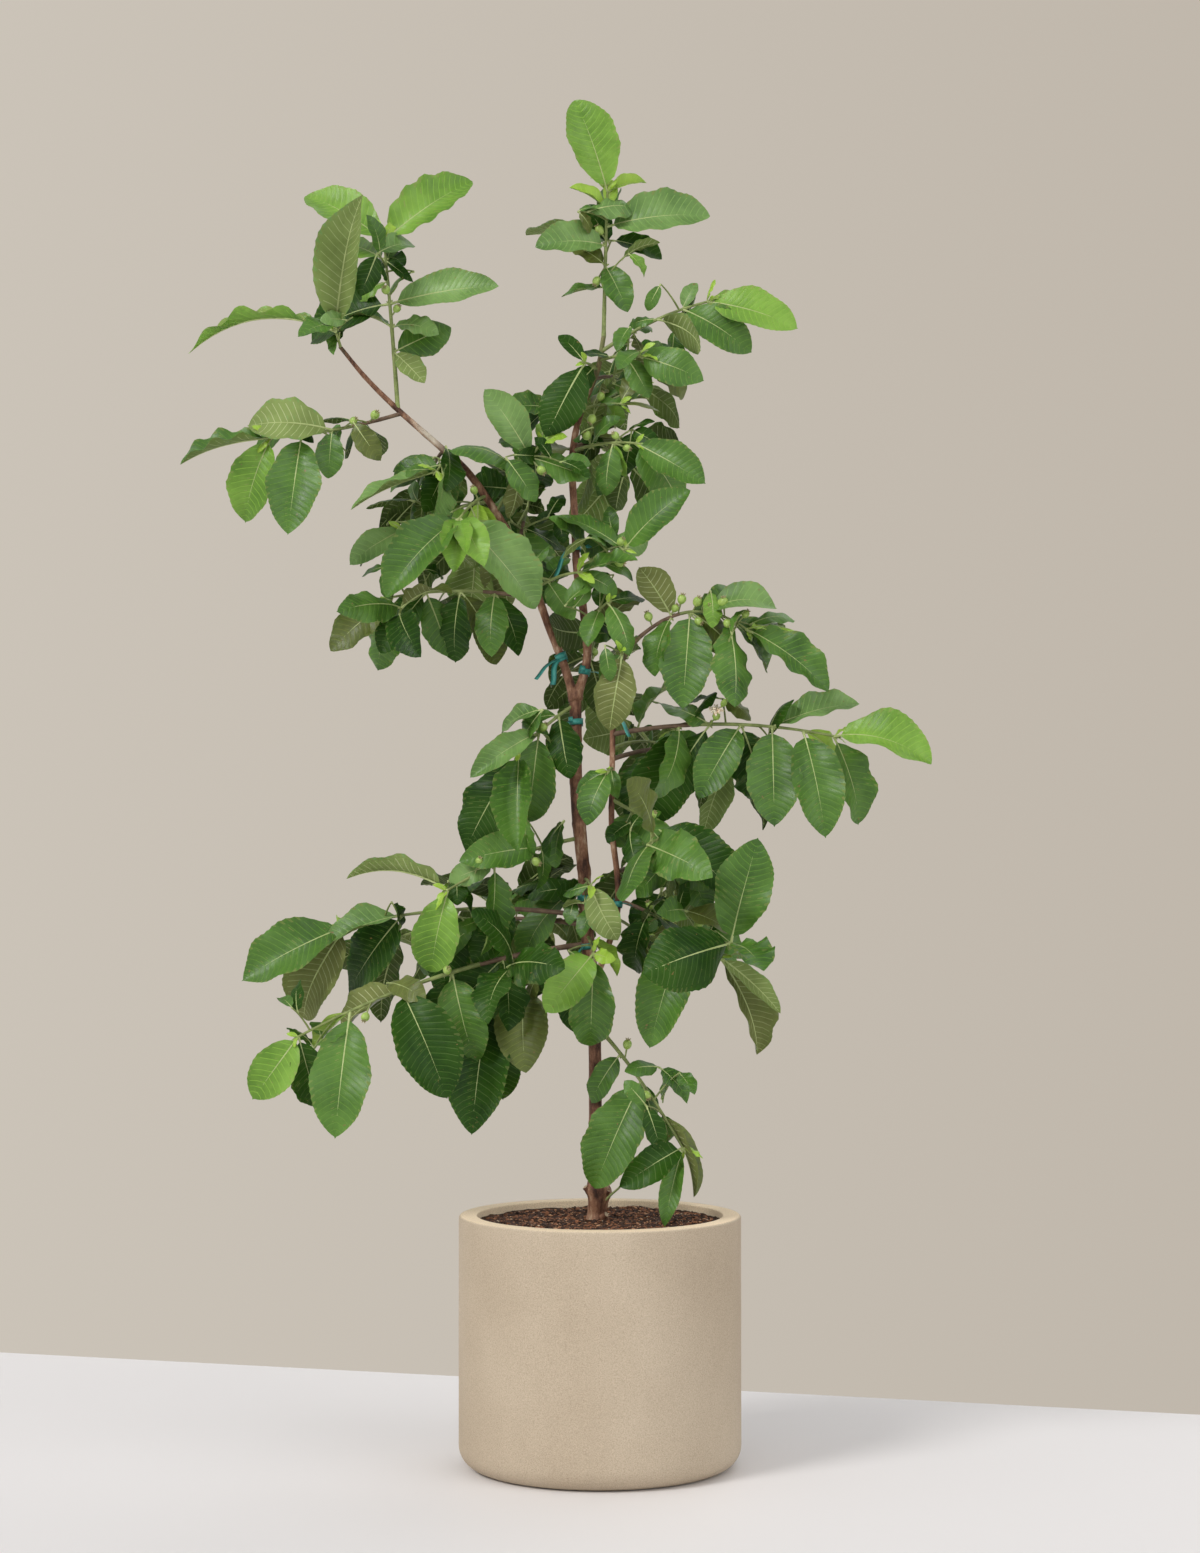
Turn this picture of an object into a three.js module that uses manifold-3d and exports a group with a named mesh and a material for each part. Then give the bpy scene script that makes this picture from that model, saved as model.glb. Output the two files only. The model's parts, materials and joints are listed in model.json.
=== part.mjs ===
// A young guava tree in a round pot: a slim trunk that forks into two leaders, a third stem beside
// it, and forty leafy shoots. Millimetres, +Z up, origin at the middle of the pot's underside.
import * as THREE from 'three';
import { mergeVertices } from 'three/addons/utils/BufferGeometryUtils.js';
import Module from 'manifold-3d';

const wasm = await Module();
wasm.setup();

// ---------------------------------------------------------------- driving dimensions
const POT = { radius: 152.5, height: 270, wall: 20, floor: 22, footRound: 24, lipRound: 5, sides: 40 };
const SOIL_TOP = 262;
const GAP = 0.3;
const LEAF_WIDTH = [0.47, 0.57];     // share of a leaf's length
const LEAF_THICKNESS = 0.018;       // share of a leaf's length
const LEAF_FOLD = 0.24;             // how far the edges stand above the midrib, share of half width
const PETIOLE = 0.08;               // share of a leaf's length
const BIG_LEAF = 84;                // longer leaves have a ring more
const LEAFY = 0.7;                  // share of a stem that carries leaves, down from its tip
const BOW = 0.1;                    // how far a stem bows up, share of its length
const STANCES = 7;                  // how many stances a leaf tries before it is left out
const STEM_STEP = 25;               // a stem is remembered in lengths of about this
const TWIG = { tries: 8, bow: 0.12, lean: 1.8, leaves: 3, leafLean: 0.9, leafTurn: 17 };
const FRUIT_RADIUS = 5.2;
const SLIVER = 0.45;                // smaller steps than this are smoothed away
const ELBOW_ROOM = 1.2;             // air kept round every leaf
const FRONT_LIGHT = new THREE.Vector3(0, -0.75, 0.66);
const BACK_LIGHT = new THREE.Vector3(0, 0.6, 0.8);
const UP = new THREE.Vector3(0, 0, 1);

// Limbs: places of the middle line [right, back, up, radius], from foot to tip.
const LIMBS = {
  trunk: [
    [-3, 4, SOIL_TOP + GAP, 11.5], [-3, 4, 272, 9.6], [-2, 3, 284, 10.6], [-2, 2, 297, 12.4],
    [-4, 2, 314, 8.6], [-5, 1, 338, 7.2], [-5, 0, 393, 7.1], [-7, -1, 501, 7.0], [-13, -2, 566, 7.3],
    [-17, -2, 631, 6.9], [-21, -2, 675, 7.1], [-26, -1, 740, 7.2], [-26, 0, 790, 6.3], [-27, 0, 836, 6.2],
  ],
  left_leader: [
    [-27, 0, 826, 4.9], [-41, 3, 870, 4.6], [-56, 4, 908, 4.4], [-76, 2, 962, 4.2], [-103, -2, 1014, 4.2],
    [-141, -5, 1071, 4.0], [-174, -4, 1102, 3.6], [-220, 0, 1143, 3.1], [-255, 4, 1178, 2.6],
    [-283, 6, 1212, 2.1],
  ],
  right_leader: [
    [-26, -1, 828, 4.8], [-14, -6, 872, 4.6], [-18, -8, 924, 4.4], [-25, -6, 968, 4.2],
    [-28, -2, 1031, 4.0], [-30, 0, 1071, 3.8], [-29, 1, 1103, 3.7], [-20, 0, 1143, 3.5],
    [-3, -2, 1185, 3.0], [4, -2, 1223, 2.5],
  ],
  third_stem: [
    [-8, -2, 517, 3.6], [7, -10, 555, 3.5], [18, -16, 593, 3.4], [19, -18, 631, 3.3], [13, -18, 686, 3.2],
    [13, -16, 740, 3.1], [14, -14, 794, 3.0], [16, -14, 837, 2.8], [28, -16, 876, 2.5],
    [43, -18, 894, 2.2],
  ],
};
const LIMB_LOOKS = {
  trunk: '#6f5446', left_leader: '#7c5f50', right_leader: '#6b4f45', third_stem: '#775548',
};

// Shoots: name, limb, height where it leaves the limb, tip [right, back, up, bow], longest leaf, then
// its leaves in pairs from tip to foot, how many side twigs, how many fruits. A leaf is [aim, share of
// the longest] (degrees, 0 right, 90 up, seen from the front) and, where it isn't left to the dice,
// how many degrees it turns from the light, how far it leans to the back for each step sideways and
// how much it arches.
const SHOOTS = [
  ['left_tip', 'left_leader', 1212, [-287, -12, 1226], 162, 
    [[77, 0.95], [184, 1.06, { turn: -52, arch: 0.9 }]], 0, 0],
  ['left_high', 'left_leader', 1143, [-235, -6, 1326], 124,
    [[148, 0.9, { lean: 0.3 }], [37, 0.95, { turn: -8 }], [-39, 0.35], [156, 0.8, { lean: 0.8 }],
      [66, 0.28], [215, 0.35], [5, 1.04, { turn: -10, arch: 0.15 }], [190, 0.96, { lean: 0.45 }],
      [-22, 0.46], [168, 0.42], [-44, 0.42], [14, 0.6]], 0, 0],
  ['left_mid', 'left_leader', 1139, [-356, -18, 1110, -0.06], 120,
    [[197, 0.84, { turn: -30 }], [251, 0.78, { turn: 0 }], [256, 1.02, { turn: 5 }], [170, 0.35],
      [177, 0.76, { turn: 0 }], [278, 0.46], [222, 0.6, { lean: 1.6 }], [300, 0.5, { lean: 1.8 }]], 0, 0],
  ['left_under', 'left_leader', 1090, [-176, -32, 1072], 108,
    [[205, 0.92, { turn: -35 }], [180, 0.4], [231, 0.82], [204, 0.66], [262, 0.6], [250, 0.7]], 0, 1],
  ['left_front', 'left_leader', 1048, [-149, -72, 1017], 132,
    [[228, 0.88, { turn: 5 }], [311, 0.98, { turn: 5 }], [270, 0.5], [292, 0.54]], 0, 0],
  ['centre_top', 'left_leader', 1030, [-64, -26, 1102], 94,
    [[19, 0.35], [72, 0.4], [124, 0.96, { turn: 5 }], [-19, 0.72], [163, 0.86], [262, 0.55],
      [-40, 0.7], [218, 0.8]], 1, 1],
  ['crown_top', 'right_leader', 1223, [8, -4, 1380], 114,
    [[110, 0.94, { turn: 0 }], [16, 0.42], [154, 0.42], [80, 0.3], [4, 1.04, { turn: 0 }], [92, 0.52],
      [184, 0.7], [168, 0.9], [-64, 0.54], [146, 0.42], [-14, 0.66, { lean: -0.5 }], [170, 0.42]], 0, 1],
  ['crown_right', 'right_leader', 1206, [116, -22, 1257], 112,
    [[-18, 0.92, { turn: 0 }], [8, 0.82], [-45, 0.8], [73, 0.32], [-28, 0.78], [200, 0.3],
      [-60, 0.6, { lean: 1.5 }], [40, 0.4, { lean: 1.8 }]], 0, 0],
  ['crown_side', 'right_leader', 1196, [42, -34, 1196], 90,
    [[-26, 0.85], [-38, 0.8], [-62, 0.6], [5, 0.7], [200, 0.42], [60, 0.4]], 0, 0],
  ['leader_right', 'right_leader', 1098, [38, -40, 1101], 98,
    [[-33, 0.92], [-49, 0.88], [266, 0.62], [-73, 0.4], [40, 0.5], [225, 0.5]], 0, 1],
  ['leader_bud', 'right_leader', 1143, [22, -22, 1146], 66,
    [[-11, 0.65], [55, 0.7], [-35, 0.75], [80, 0.6]], 0, 1],
  ['leader_dark', 'right_leader', 1186, [-16, -26, 1190], 104, [[243, 0.95], [131, 0.45], [222, 0.5]], 0, 0],
  ['leader_left', 'right_leader', 1124, [-54, 34, 1150], 96,
    [[180, 0.55], [214, 0.62], [240, 0.82], [262, 0.6]], 0, 1],
  ['left_dark', 'left_leader', 1042, [-216, 34, 1016], 92,
    [[210, 0.8], [208, 0.78], [250, 0.72], [190, 0.5], [278, 0.7], [236, 0.8]], 1, 0],
  ['left_lower', 'left_leader', 936, [-228, 30, 941], 102,
    [[220, 0.88], [254, 0.84], [248, 0.82], [273, 0.75], [292, 0.95], [262, 0.8], [256, 0.78],
      [300, 0.7]], 1, 0],
  ['fork_front', 'left_leader', 948, [-24, -48, 961], 70,
    [[12, 0.95], [-27, 0.72], [288, 0.75], [50, 0.7]], 0, 0],
  ['leader_low', 'right_leader', 905, [8, -36, 930], 70,
    [[-66, 0.92], [25, 0.7], [240, 0.65], [100, 0.5], [-30, 0.6], [200, 0.6]], 0, 0],
  ['centre_right', 'right_leader', 968, [26, -44, 986], 102,
    [[41, 0.92, { turn: 0 }], [149, 0.82], [131, 0.68], [-20, 0.5]], 0, 1],
  ['right_mid', 'third_stem', 894, [157, -30, 902, 0.4], 118,
    [[-38, 0.98, { turn: 5 }], [-16, 0.6], [273, 0.9], [-29, 0.78], [6, 0.62, { turn: 20, arch: 0.8 }],
      [-14, 0.78], [265, 0.94, { turn: 0 }], [-50, 0.82], [246, 0.6], [121, 0.56]], 0, 2],
  ['stem_front', 'third_stem', 862, [24, -56, 874], 92, [[263, 0.95], [235, 0.45]], 0, 0],
  ['right_far', 'third_stem', 789, [253, -12, 787], 134,
    [[-16, 0.84, { turn: 15, arch: 0.9 }], [-73, 0.78], [-80, 0.87, { turn: 5 }], [-36, 0.45],
      [270, 0.84, { turn: 0 }], [16, 0.76], [241, 0.68, { turn: 0 }], [-70, 0.76], [157, 0.5],
      [249, 0.8], [268, 0.7], [252, 0.86]], 0, 0],
  ['third_left', 'third_stem', 752, [9, -44, 748], 74, [[247, 0.88], [212, 0.62], [276, 0.5]], 0, 0],
  ['right_dark', 'third_stem', 774, [62, 46, 782], 116,
    [[266, 1], [247, 0.9], [283, 0.7], [290, 0.7]], 1, 0],
  ['right_low', 'third_stem', 718, [86, -36, 664], 118,
    [[-66, 0.6], [223, 0.62], [-40, 0.98, { turn: 5 }], [258, 0.96], [-55, 0.72], [205, 0.5]], 1, 0],
  ['right_foot', 'third_stem', 610, [128, -42, 549], 128,
    [[-41, 0.72], [-69, 0.9], [253, 0.98, { turn: 0 }], [-34, 0.6], [-71, 0.62], [240, 0.6]], 1, 2],
  ['third_olive', 'third_stem', 590, [46, 22, 568], 82, [[-68, 0.9], [-40, 0.7], [-85, 0.8]], 0, 0],
  ['left_inner', 'trunk', 822, [-87, -28, 768], 118,
    [[270, 0.97], [238, 1], [215, 0.8], [262, 0.86], [268, 0.66], [182, 0.35]], 0, 0],
  ['left_low', 'trunk', 677, [-163, -40, 621], 112,
    [[171, 0.98, { turn: -62 }], [257, 0.84, { turn: 0 }], [283, 0.86], [192, 0.5], [181, 0.9],
      [275, 0.45]], 0, 1],
  ['trunk_left', 'trunk', 622, [-36, 34, 614], 98, [[233, 0.95], [205, 0.8], [262, 0.5], [190, 0.6]], 0, 1],
  ['trunk_front', 'trunk', 632, [-10, -48, 626], 70, [[-62, 0.95], [200, 0.5]], 0, 0],
  ['left_deep', 'trunk', 546, [-122, 6, 492], 124,
    [[262, 1.1, { turn: 0 }], [-82, 0.9], [264, 0.86], [250, 0.8], [-80, 0.6]], 1, 0],
  ['left_wing', 'trunk', 592, [-276, 16, 581], 142,
    [[208, 0.92, { turn: 0 }], [243, 0.84], [199, 0.62], [236, 0.8], [262, 0.7], [222, 0.66], [250, 0.6],
      [285, 0.6]], 0, 0],
  ['left_foot', 'trunk', 562, [-320, -66, 466], 144,
    [[235, 0.58], [-78, 0.56], [266, 0.98, { turn: 5 }], [226, 0.4], [-65, 0.86, { turn: 0 }], [222, 0.6],
      [-76, 0.7], [250, 0.7], [-67, 0.6], [215, 0.6]], 0, 1],
  ['front_rosette', 'trunk', 570, [-7, -62, 554], 106,
    [[233, 0.78], [267, 0.98], [-51, 0.5], [217, 0.9]], 0, 0],
  ['foot_shoot', 'trunk', 476, [88, -52, 347], 130,
    [[211, 0.54], [267, 0.7], [-68, 0.74, { turn: 60 }], [300, 0.35], [248, 0.95, { turn: 0 }], [286, 0.4],
      [246, 0.5]], 0, 1],
  ['centre_back', 'left_leader', 990, [-76, 120, 1064], 104,
    [[150, 0.85], [200, 0.85], [95, 0.7], [250, 0.9], [280, 0.9], [320, 0.6]], 1, 0],
  ['back_low_left', 'trunk', 600, [-104, 190, 598], 108,
    [[225, 0.9], [262, 1], [285, 0.8], [190, 0.7]], 1, 0],
  ['back_low_right', 'third_stem', 640, [84, 180, 628], 108,
    [[-58, 0.9], [265, 1], [232, 0.8], [-30, 0.6]], 2, 0],
  ['back_mid', 'right_leader', 872, [-8, 190, 866], 104,
    [[250, 0.9], [-72, 1], [215, 0.7], [-60, 0.7]], 2, 0],
  ['back_left', 'left_leader', 1014, [-146, 185, 1024], 108,
    [[225, 0.9], [265, 1], [300, 0.8], [185, 0.7]], 2, 0],
  ['back_right', 'right_leader', 1103, [32, 170, 1106], 100,
    [[-62, 0.9], [228, 1], [72, 0.6], [260, 0.9]], 1, 0],
  ['back_high', 'right_leader', 1176, [46, 120, 1186], 88,
    [[-40, 0.8], [205, 0.7], [70, 0.5], [250, 0.9]], 1, 0],
  ['back_far', 'third_stem', 762, [150, 150, 772], 112,
    [[-62, 0.9], [248, 0.9], [12, 0.6], [262, 0.8]], 1, 0],
  ['back_wing', 'trunk', 582, [-226, 150, 566], 116,
    [[205, 0.8], [255, 0.9], [285, 0.8], [225, 0.9]], 1, 0],
  ['back_under', 'left_leader', 1098, [-196, 110, 1072], 92,
    [[222, 0.8], [265, 0.8], [200, 0.6], [285, 0.8]], 0, 0],
];

// ---------------------------------------------------------------- small tools
const at = (x, y, z) => new THREE.Vector3(x, y, z);
const along = (from, step, direction) => from.clone().addScaledVector(direction, step);
const mix = (a, b, share) => a + (b - a) * share;
const degrees = (angle) => (angle * Math.PI) / 180;

// A small seeded dice, so that the tree grows the same way every time.
class Dice {
  constructor(seed) {
    this.state = seed * 7919 + 17;
    for (let warmUp = 0; warmUp < 4; warmUp += 1) this.roll();
  }
  roll() {
    this.state = (this.state * 48271) % 2147483647;
    return this.state / 2147483647;
  }
  between(low, high) {
    return mix(low, high, this.roll());
  }
}

// A closed skin over rings of points, each with the same number of points, capped at both ends.
function skin(rings) {
  const around = rings[0].length;
  const points = rings.flat();
  const faces = [];
  for (let r = 0; r < rings.length - 1; r += 1) {
    for (let i = 0; i < around; i += 1) {
      const a = r * around + i;
      const b = r * around + ((i + 1) % around);
      faces.push(a, b, b + around, a, b + around, a + around);
    }
  }
  const last = (rings.length - 1) * around;
  for (let i = 1; i < around - 1; i += 1) {
    faces.push(0, i + 1, i, last, last + i, last + i + 1);
  }
  let geometry = new THREE.BufferGeometry().setFromPoints(points);
  geometry.setIndex(faces);
  geometry = mergeVertices(geometry, 1e-4);
  const index = Array.from(geometry.index.array);
  const kept = [];
  for (let f = 0; f < index.length; f += 3) {
    const [a, b, c] = index.slice(f, f + 3);
    if (a !== b && b !== c && c !== a) kept.push(a, b, c);
  }
  if (volumeOf(geometry, kept) < 0) kept.reverse();
  geometry.setIndex(kept);
  return geometry;
}

function volumeOf(geometry, index) {
  const place = geometry.getAttribute('position');
  const corner = [at(0, 0, 0), at(0, 0, 0), at(0, 0, 0)];
  let total = 0;
  for (let f = 0; f < index.length; f += 3) {
    corner.forEach((point, k) => point.fromBufferAttribute(place, index[f + k]));
    total += corner[0].dot(corner[1].clone().cross(corner[2]));
  }
  return total / 6;
}

function solidOf(geometry) {
  const clean = geometry.clone();
  clean.deleteAttribute('normal');
  clean.deleteAttribute('uv');
  const merged = mergeVertices(clean, 1e-4);
  return new wasm.Manifold(new wasm.Mesh({
    numProp: 3,
    vertProperties: new Float32Array(merged.getAttribute('position').array),
    triVerts: new Uint32Array(merged.index.array),
  }));
}

// The largest piece of a solid: loose scraps and sealed hollows are dropped.
function wholeOf(solid) {
  return solid.decompose().reduce((best, piece) => (piece.volume() > best.volume() ? piece : best));
}

function geometryOf(solid) {
  const mesh = solid.getMesh();
  const geometry = new THREE.BufferGeometry();
  geometry.setAttribute('position', new THREE.BufferAttribute(new Float32Array(mesh.vertProperties), 3));
  geometry.setIndex(Array.from(mesh.triVerts));
  geometry.computeVertexNormals();
  return geometry;
}

// A round ring across a direction. Every ring's first point looks to the same side.
function ring(centre, direction, radius, sides) {
  const across = Math.abs(direction.y) > 0.9 ? at(1, 0, 0) : at(0, 1, 0);
  const u = across.clone().cross(direction).normalize();
  const v = direction.clone().cross(u).normalize();
  return Array.from({ length: sides }, (_, i) => {
    const turn = (2 * Math.PI * i) / sides;
    return along(along(centre, radius * Math.cos(turn), u), radius * Math.sin(turn), v);
  });
}

function tube(curve, radiusAt, steps, sides, flatFoot = false) {
  const rings = [];
  for (let k = 0; k <= steps; k += 1) {
    const t = k / steps;
    const direction = flatFoot && k === 0 ? UP : curve.getTangent(t);
    rings.push(ring(curve.getPoint(t), direction, radiusAt(t), sides));
  }
  return skin(rings);
}

// ---------------------------------------------------------------- keeping clear of each other
function trianglesOf(geometry) {
  const place = geometry.getAttribute('position');
  const index = geometry.index.array;
  const triangles = [];
  for (let f = 0; f < index.length; f += 3) {
    const corners = [0, 1, 2].map((k) => at(0, 0, 0).fromBufferAttribute(place, index[f + k]));
    triangles.push(new THREE.Triangle(...corners));
  }
  return triangles;
}

function bodyOf(geometry) {
  geometry.computeBoundingBox();
  return { box: geometry.boundingBox.clone(), triangles: trianglesOf(geometry) };
}

const edgeRay = new THREE.Ray();
const crossing = at(0, 0, 0);

function edgeMeets(from, to, triangle) {
  const length = from.distanceTo(to);
  edgeRay.origin.copy(from);
  edgeRay.direction.copy(to).sub(from).divideScalar(length);
  const met = edgeRay.intersectTriangle(triangle.a, triangle.b, triangle.c, false, crossing);
  return met !== null && crossing.distanceTo(from) <= length;
}

function edgesMeet(one, other) {
  return edgeMeets(one.a, one.b, other) || edgeMeets(one.b, one.c, other) || edgeMeets(one.c, one.a, other);
}

function bodiesMeet(one, other) {
  if (!one.box.intersectsBox(other.box)) return false;
  return one.triangles.some((s) => other.triangles.some((t) => edgesMeet(s, t) || edgesMeet(t, s)));
}

const grown = [];
const isClear = (body, ignored) => !grown.some((other) => other.owner !== ignored && bodiesMeet(body, other));

// A long round piece is remembered as short lengths, so that few of them are near any leaf.
function remember(curve, radiusAt, steps, owner) {
  for (let k = 0; k < steps; k += 1) {
    const rings = [k / steps, (k + 1) / steps].map((t) => (
      ring(curve.getPoint(t), curve.getTangent(t), radiusAt(t) + ELBOW_ROOM, 6)));
    grown.push({ ...bodyOf(skin(rings)), owner });
  }
}

// Nothing hangs into the soil or through the pot.
function staysOffPot(body) {
  return body.triangles.every((triangle) => [triangle.a, triangle.b, triangle.c].every((point) => (
    point.z > POT.height + 8 || Math.hypot(point.x, point.y) > POT.radius + 12)));
}

// ---------------------------------------------------------------- pot and soil
function potProfile() {
  const { radius, height, wall, floor, footRound, lipRound } = POT;
  const outline = new THREE.Shape();
  outline.moveTo(0, 0);
  outline.lineTo(radius - footRound, 0);
  outline.absarc(radius - footRound, footRound, footRound, -Math.PI / 2, 0, false);
  outline.lineTo(radius, height - lipRound);
  outline.absarc(radius - lipRound, height - lipRound, lipRound, 0, Math.PI / 2, false);
  outline.absarc(radius - wall + lipRound, height - lipRound, lipRound, Math.PI / 2, Math.PI, false);
  outline.lineTo(radius - wall, floor);
  outline.lineTo(0, floor);
  return outline.getPoints(2);
}

function lathe(profile, sides) {
  const geometry = new THREE.LatheGeometry(profile, sides);
  geometry.rotateX(Math.PI / 2);
  const solid = solidOf(geometry);
  return geometryOf(solid);
}

function makeSoil() {
  const radius = POT.radius - POT.wall - GAP;
  const foot = POT.floor + GAP;
  return lathe([
    new THREE.Vector2(0, foot),
    new THREE.Vector2(radius, foot),
    new THREE.Vector2(radius, SOIL_TOP),
    new THREE.Vector2(0, SOIL_TOP),
  ], POT.sides);
}

// ---------------------------------------------------------------- limbs
function limbOf(name) {
  const places = LIMBS[name];
  const curve = new THREE.CatmullRomCurve3(places.map(([x, y, z]) => at(x, y, z)), false, 'catmullrom', 0.5);
  const radiusAt = (t) => {
    const place = Math.min(t * (places.length - 1), places.length - 1.0001);
    const k = Math.floor(place);
    return mix(places[k][3], places[k + 1][3], place - k);
  };
  const sides = name === 'trunk' ? 12 : 8;
  const steps = name === 'trunk' ? 20 : 13;
  return { name, curve, radiusAt, sides, steps };
}

// Where on a limb's middle line a height is reached.
function fractionAt(limb, height) {
  let low = 0;
  let high = 1;
  for (let k = 0; k < 24; k += 1) {
    const middle = (low + high) / 2;
    if (limb.curve.getPoint(middle).z < height) low = middle;
    else high = middle;
  }
  return low;
}

const limbs = Object.fromEntries(Object.keys(LIMBS).map((name) => [name, limbOf(name)]));

function limbSolid(limb, extra) {
  const flatFoot = limb.name === 'trunk';
  return solidOf(tube(limb.curve, (t) => limb.radiusAt(t) + extra, limb.steps, limb.sides, flatFoot));
}

// Each limb is cut back from the ones that it springs from.
function makeLimbs() {
  const solids = {};
  const cutters = [];
  Object.values(limbs).forEach((limb) => {
    const whole = cutters.reduce((solid, cutter) => solid.subtract(cutter), limbSolid(limb, 0));
    solids[limb.name] = wholeOf(whole);
    cutters.push(limbSolid(limb, GAP));
    remember(limb.curve, limb.radiusAt, limb.steps, limb.name);
  });
  return { solids, cutters };
}

// ---------------------------------------------------------------- leaves
// Share of the full half width at each share of the length.
function leafOutline(s) {
  if (s === 0) return 0.03;
  if (s < PETIOLE) return 0.07;
  const t = (s - PETIOLE) / (1 - PETIOLE);
  return Math.max(0.07, Math.sin(Math.PI * t ** 1.18) ** 0.72);
}

const stationsOf = (leaf) => (leaf.length > BIG_LEAF ? [0, 0.24, 0.6, 0.87] : [0, 0.3, 0.72]);

// A leaf is said by its foot, aim, length, width, arch and roll: this gives any place on it.
function leafFrame(leaf) {
  const light = leaf.foot.y > 40 ? BACK_LIGHT : FRONT_LIGHT;
  const level = leaf.aim.clone().cross(light).normalize();
  const face = level.clone().cross(leaf.aim).normalize();
  const side = along(level.multiplyScalar(Math.cos(leaf.roll)), Math.sin(leaf.roll), face).normalize();
  const lift = side.clone().cross(leaf.aim).normalize();
  const middle = (s) => (
    along(along(leaf.foot, leaf.length * s, leaf.aim), leaf.length * leaf.arch * (s - s * s), lift));
  const normal = (s) => side.clone().cross(along(leaf.aim, leaf.arch * (1 - 2 * s), lift)).normalize();
  return { side, middle, normal };
}

function leafGeometry(leaf, extra, stations) {
  const { side, middle, normal } = leafFrame(leaf);
  const rings = stations.map((s) => {
    const centre = middle(s);
    const up = normal(s);
    const half = (leaf.width / 2) * leafOutline(s) + extra;
    const thick = (leaf.length * LEAF_THICKNESS * (s === 0 ? 0.5 : 1)) / 2 + extra;
    const edge = along(centre, half * LEAF_FOLD, up);
    const [left, right] = [along(edge, -half, side), along(edge, half, side)];
    return [left, along(centre, -thick, up), right, along(centre, thick, up)];
  });
  const tip = middle(1);
  rings.push([tip, tip, tip, tip]);
  return skin(rings);
}

const bladeBody = (leaf, stations) => bodyOf(leafGeometry(leaf, ELBOW_ROOM, stations));

// A leaf tries a few stances and takes the first that is clear of everything grown before it. The
// feet of leaves on one shoot may touch.
function settle(stance, owner) {
  for (let attempt = 0; attempt < STANCES; attempt += 1) {
    const leaf = stance(attempt);
    const beyondFoot = stationsOf(leaf).slice(1);
    const whole = bladeBody(leaf, [PETIOLE / 2, ...beyondFoot]);
    if (staysOffPot(whole) && isClear(whole, owner)) {
      grown.push({ ...whole, owner });
      grown.push({ ...bladeBody(leaf, beyondFoot), owner: null });
      return leaf;
    }
  }
  return null;
}

// ---------------------------------------------------------------- shoots
function bow(foot, tip, rise) {
  const middle = foot.clone().lerp(tip, 0.5);
  middle.z += rise * foot.distanceTo(tip);
  return new THREE.QuadraticBezierCurve3(foot, middle, tip);
}

const twigRadius = (t) => mix(1.7, 1.3, t);

function aimOf(angle, depth) {
  return at(Math.cos(degrees(angle)), depth, Math.sin(degrees(angle))).normalize();
}

const shoots = SHOOTS.map(([name, limbName, height, place, leafLength, aims, twigs, fruits], order) => {
  const limb = limbs[limbName];
  const foot = limb.curve.getPoint(fractionAt(limb, height));
  const [right, back, up, rise = BOW] = place;
  const tip = at(right, back, up);
  const curve = bow(foot, tip, rise);
  const length = foot.distanceTo(tip);
  const radiusAt = (t) => mix(1.6 + 0.005 * length, 1.3, t);
  return { name, curve, length, radiusAt, leafLength, aims, twigs, fruits, order };
});

// Leaves sit in pairs, one to the front and one to the back. Each next stance turns, leans and rolls
// a little more, and is a little shorter.
function growLeaves(shoot, dice) {
  const leaves = [];
  const nodes = Math.ceil(shoot.aims.length / 2);
  shoot.aims.forEach(([angle, share, chosen = {}], i) => {
    const t = 1 - (Math.floor(i / 2) * LEAFY) / Math.max(nodes - 1, 1);
    const toBack = i % 2 === 0 ? -1 : 1;
    const diceLean = toBack * dice.between(0.08, 0.4);
    const length = shoot.leafLength * share * dice.between(0.96, 1.04);
    const width = length * dice.between(...LEAF_WIDTH);
    const diceArch = dice.between(0.12, 0.5);
    const diceTurn = dice.between(-26, 26);
    const { turn = diceTurn, lean = diceLean, arch = diceArch } = chosen;
    const leaf = settle((attempt) => ({
      foot: shoot.curve.getPoint(t),
      aim: aimOf(angle + attempt * 9 * (attempt % 2 ? 1 : -1), lean + attempt * 0.16 * toBack),
      length: length * (1 - 0.04 * attempt),
      width,
      arch,
      roll: degrees(turn + 9 * attempt),
    }), shoot.name);
    if (leaf) leaves.push(leaf);
  });
  return leaves;
}

// Three leaves spread round the end of a side twig.
function growTwigLeaves(shoot, curve, toBack, dice) {
  const leaves = [];
  const apart = 360 / TWIG.leaves;
  const turn = dice.between(0, apart);
  for (let j = 0; j < TWIG.leaves; j += 1) {
    const length = shoot.leafLength * dice.between(0.7, 0.95);
    const width = length * dice.between(...LEAF_WIDTH);
    const arch = dice.between(0.15, 0.5);
    const roll = dice.between(-0.5, 0.5);
    const leaf = settle((attempt) => ({
      foot: curve.getPoint(j === TWIG.leaves - 1 ? 1 : 0.8),
      aim: aimOf(turn + apart * j + TWIG.leafTurn * attempt, toBack * (TWIG.leafLean + 0.1 * attempt)),
      length: length * (1 - 0.04 * attempt),
      width,
      arch,
      roll,
    }), shoot.name);
    if (leaf) leaves.push(leaf);
  }
  return leaves;
}

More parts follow.
